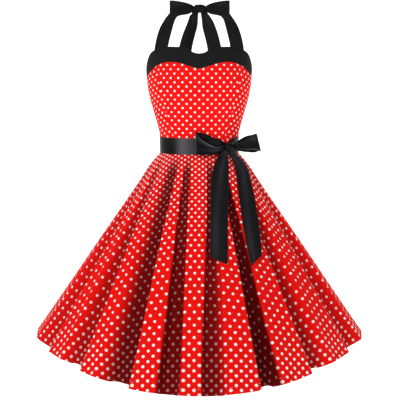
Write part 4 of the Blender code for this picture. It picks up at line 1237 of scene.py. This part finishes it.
def small_blocks(name, path, outward, size, pitch, shader):
    """Small blocks set along a path of points, each as long as size's first number."""
    steps = np.linalg.norm(np.diff(path, axis=0), axis=1)
    run = np.concatenate(([0.0], np.cumsum(steps)))
    at = np.arange(0.5 * pitch, run[-1] - 0.5 * pitch, pitch)
    centre = np.stack([np.interp(at, run, path[:, k]) for k in range(3)], axis=-1)
    up = np.stack([np.interp(at, run, outward[:, k]) for k in range(3)], axis=-1)
    ahead = np.gradient(centre, axis=0)
    ahead /= np.linalg.norm(ahead, axis=-1, keepdims=True)
    side = np.cross(up, ahead)
    side /= np.linalg.norm(side, axis=-1, keepdims=True)
    up = np.cross(ahead, side)
    corners = np.array([(a, b, c) for c in (-0.5, 0.5) for b in (-0.5, 0.5) for a in (-0.5, 0.5)]) * size
    axes = enumerate((ahead, side, up))
    points = centre[:, None] + sum(corners[None, :, k, None] * axis[:, None] for k, axis in axes)
    quad = np.array(((0, 2, 3, 1), (4, 5, 7, 6), (0, 1, 5, 4), (2, 6, 7, 3), (0, 4, 6, 2), (1, 3, 7, 5)))
    faces = (np.arange(len(at))[:, None, None] * 8 + quad[None]).reshape(-1, 4)
    mesh = bpy.data.meshes.new(name)
    mesh.from_pydata(points.reshape(-1, 3).tolist(), [], faces.tolist())
    mesh.materials.append(shader)
    made = linked(name, mesh)
    keep(made, None)


def on_cloth(surface, u, v, lift):
    """Points a little above a surface along lines of its two parameters, with the way out."""
    u, v = np.broadcast_arrays(np.asarray(u, float), np.asarray(v, float))
    grid_u = np.stack((u - 0.3, u, u + 0.3))
    grid_v = np.stack((v, v, v))
    here = surface(grid_u, grid_v)
    below = surface(u, v - 0.002)
    normal = np.cross(here[2] - here[0], here[1] - below)
    normal /= np.linalg.norm(normal, axis=-1, keepdims=True)
    away = here[1] - np.array((0.0, BODY_Y, 0.0))
    normal *= np.sign(np.sum(normal[:, :2] * away[:, :2], axis=-1))[:, None]
    return here[1] + normal * lift, normal


HEM_STITCH_AT = 0.975      # share of the skirt's length where the hem is sewn
for part, start, end, _ in SKIRT_PANELS:
    angle = np.arange(start + 0.3, end - 0.3, 0.1)
    share = np.full_like(angle, HEM_STITCH_AT)
    path, outward = on_cloth(skirt_surface, angle, share, COTTON)
    path += outward * skirt_relief(angle, share)[:, None]
    small_blocks("stitches_hem_" + part, path, outward, STITCH, STITCH_PITCH, DOTTED)


def zip_teeth():
    """Two interlocked rows of teeth on the inner face of the tape, down the centre back."""
    z = np.linspace(BACK_TOP_Z - 0.012, WAIST_SEAM_Z + 0.001, 200)
    upper = bodice_surface(np.full_like(z, CENTRE_BACK), z)
    share = np.linspace(0.004, 0.195, 100)
    lower = skirt_surface(np.full_like(share, CENTRE_BACK), share)
    path = np.concatenate((upper, lower))
    inward = np.broadcast_to((0.0, -1.0, 0.0), path.shape)
    for name, sideways, start in (("zip_teeth_left", 0.0006, 0.0), ("zip_teeth_right", -0.0006, 0.5)):
        row = path + inward * TEETH_DEPTH + np.array((sideways, 0.0, -start * TOOTH_PITCH))
        small_blocks(name, row, inward, TOOTH, TOOTH_PITCH, METAL)


zip_teeth()

# ---------------------------------------------------------------- stage, light and camera

FLOOR_Z = -1.52            # the dress hangs above the floor; the sweep also gives off light
BODY_MIDDLE = (0.0, -0.1, -0.6)
CAMERA_PITCH = 0.15750     # radians, looking down


SWEEP_FRONT = -9.0
SWEEP_HALF_WIDTH = 30.0
SWEEP_TOP = 18.0
SWEEP_STEPS = 12


def stage():
    bend = 4.0
    back = 12.0
    profile = [(SWEEP_FRONT, FLOOR_Z), (back - bend, FLOOR_Z)]
    for i in range(1, SWEEP_STEPS + 1):
        turn = math.pi / 2 * i / SWEEP_STEPS
        profile.append((back - bend + bend * math.sin(turn), FLOOR_Z + bend - bend * math.cos(turn)))
    profile.append((back, SWEEP_TOP))
    points, faces = [], []
    for i, (y, z) in enumerate(profile):
        points += [(-SWEEP_HALF_WIDTH, y, z), (SWEEP_HALF_WIDTH, y, z)]
        if i:
            faces.append((2 * i - 2, 2 * i - 1, 2 * i + 1, 2 * i))
    mesh = bpy.data.meshes.new("sweep")
    mesh.from_pydata(points, [], faces)
    mesh.shade_smooth()
    made = linked("sweep", mesh)
    n = Nodes("pale_sweep")
    n.shader.inputs["Base Color"].default_value = (0.93, 0.93, 0.93, 1.0)
    n.shader.inputs["Roughness"].default_value = 0.9
    n.shader.inputs["Specular IOR Level"].default_value = 0.1
    n.shader.inputs["Emission Color"].default_value = (1.0, 1.0, 1.0, 1.0)
    n.shader.inputs["Emission Strength"].default_value = 0.95
    mesh.materials.append(n.material)


def area_light(name, location, target, size, power):
    data = bpy.data.lights.new(name, "AREA")
    data.shape = "RECTANGLE"
    data.size, data.size_y = size
    data.energy = power
    made = linked(name, data)
    made.location = location
    direction = np.array(target) - np.array(location)
    made.rotation_euler = Vector(direction).to_track_quat("-Z", "Y").to_euler()


stage()
for name, location, target, size, power in (
    ("key", (-1.9, -2.6, 1.3), BODY_MIDDLE, (1.2, 1.2), 60.0),
    ("fill", (2.4, -2.2, 0.6), BODY_MIDDLE, (1.6, 1.6), 20.0),
    ("front", (0.0, -3.6, 1.6), BODY_MIDDLE, (2.4, 1.6), 24.0),
    ("rim", (1.4, 3.4, 1.8), (0.0, 0.0, -0.6), (2.4, 1.6), 30.0),
):
    area_light(name, location, target, size, power)

world = bpy.data.worlds.new("studio")
world.use_nodes = True
world.node_tree.nodes["Background"].inputs[0].default_value = (1.0, 1.0, 1.0, 1.0)
world.node_tree.nodes["Background"].inputs[1].default_value = 0.13
bpy.context.scene.world = world
bpy.context.scene.view_settings.view_transform = "Standard"
bpy.context.scene.view_settings.look = "None"
bpy.context.scene.view_settings.exposure = 0.0

camera_data = bpy.data.cameras.new("camera")
camera_data.sensor_width = 36.0
camera_data.lens = 68.57
camera = linked("camera", camera_data)
camera.location = (0.0025, -2.47, -0.218)
camera.rotation_euler = (math.pi / 2 - CAMERA_PITCH, 0.0, 0.0)
bpy.context.scene.camera = camera
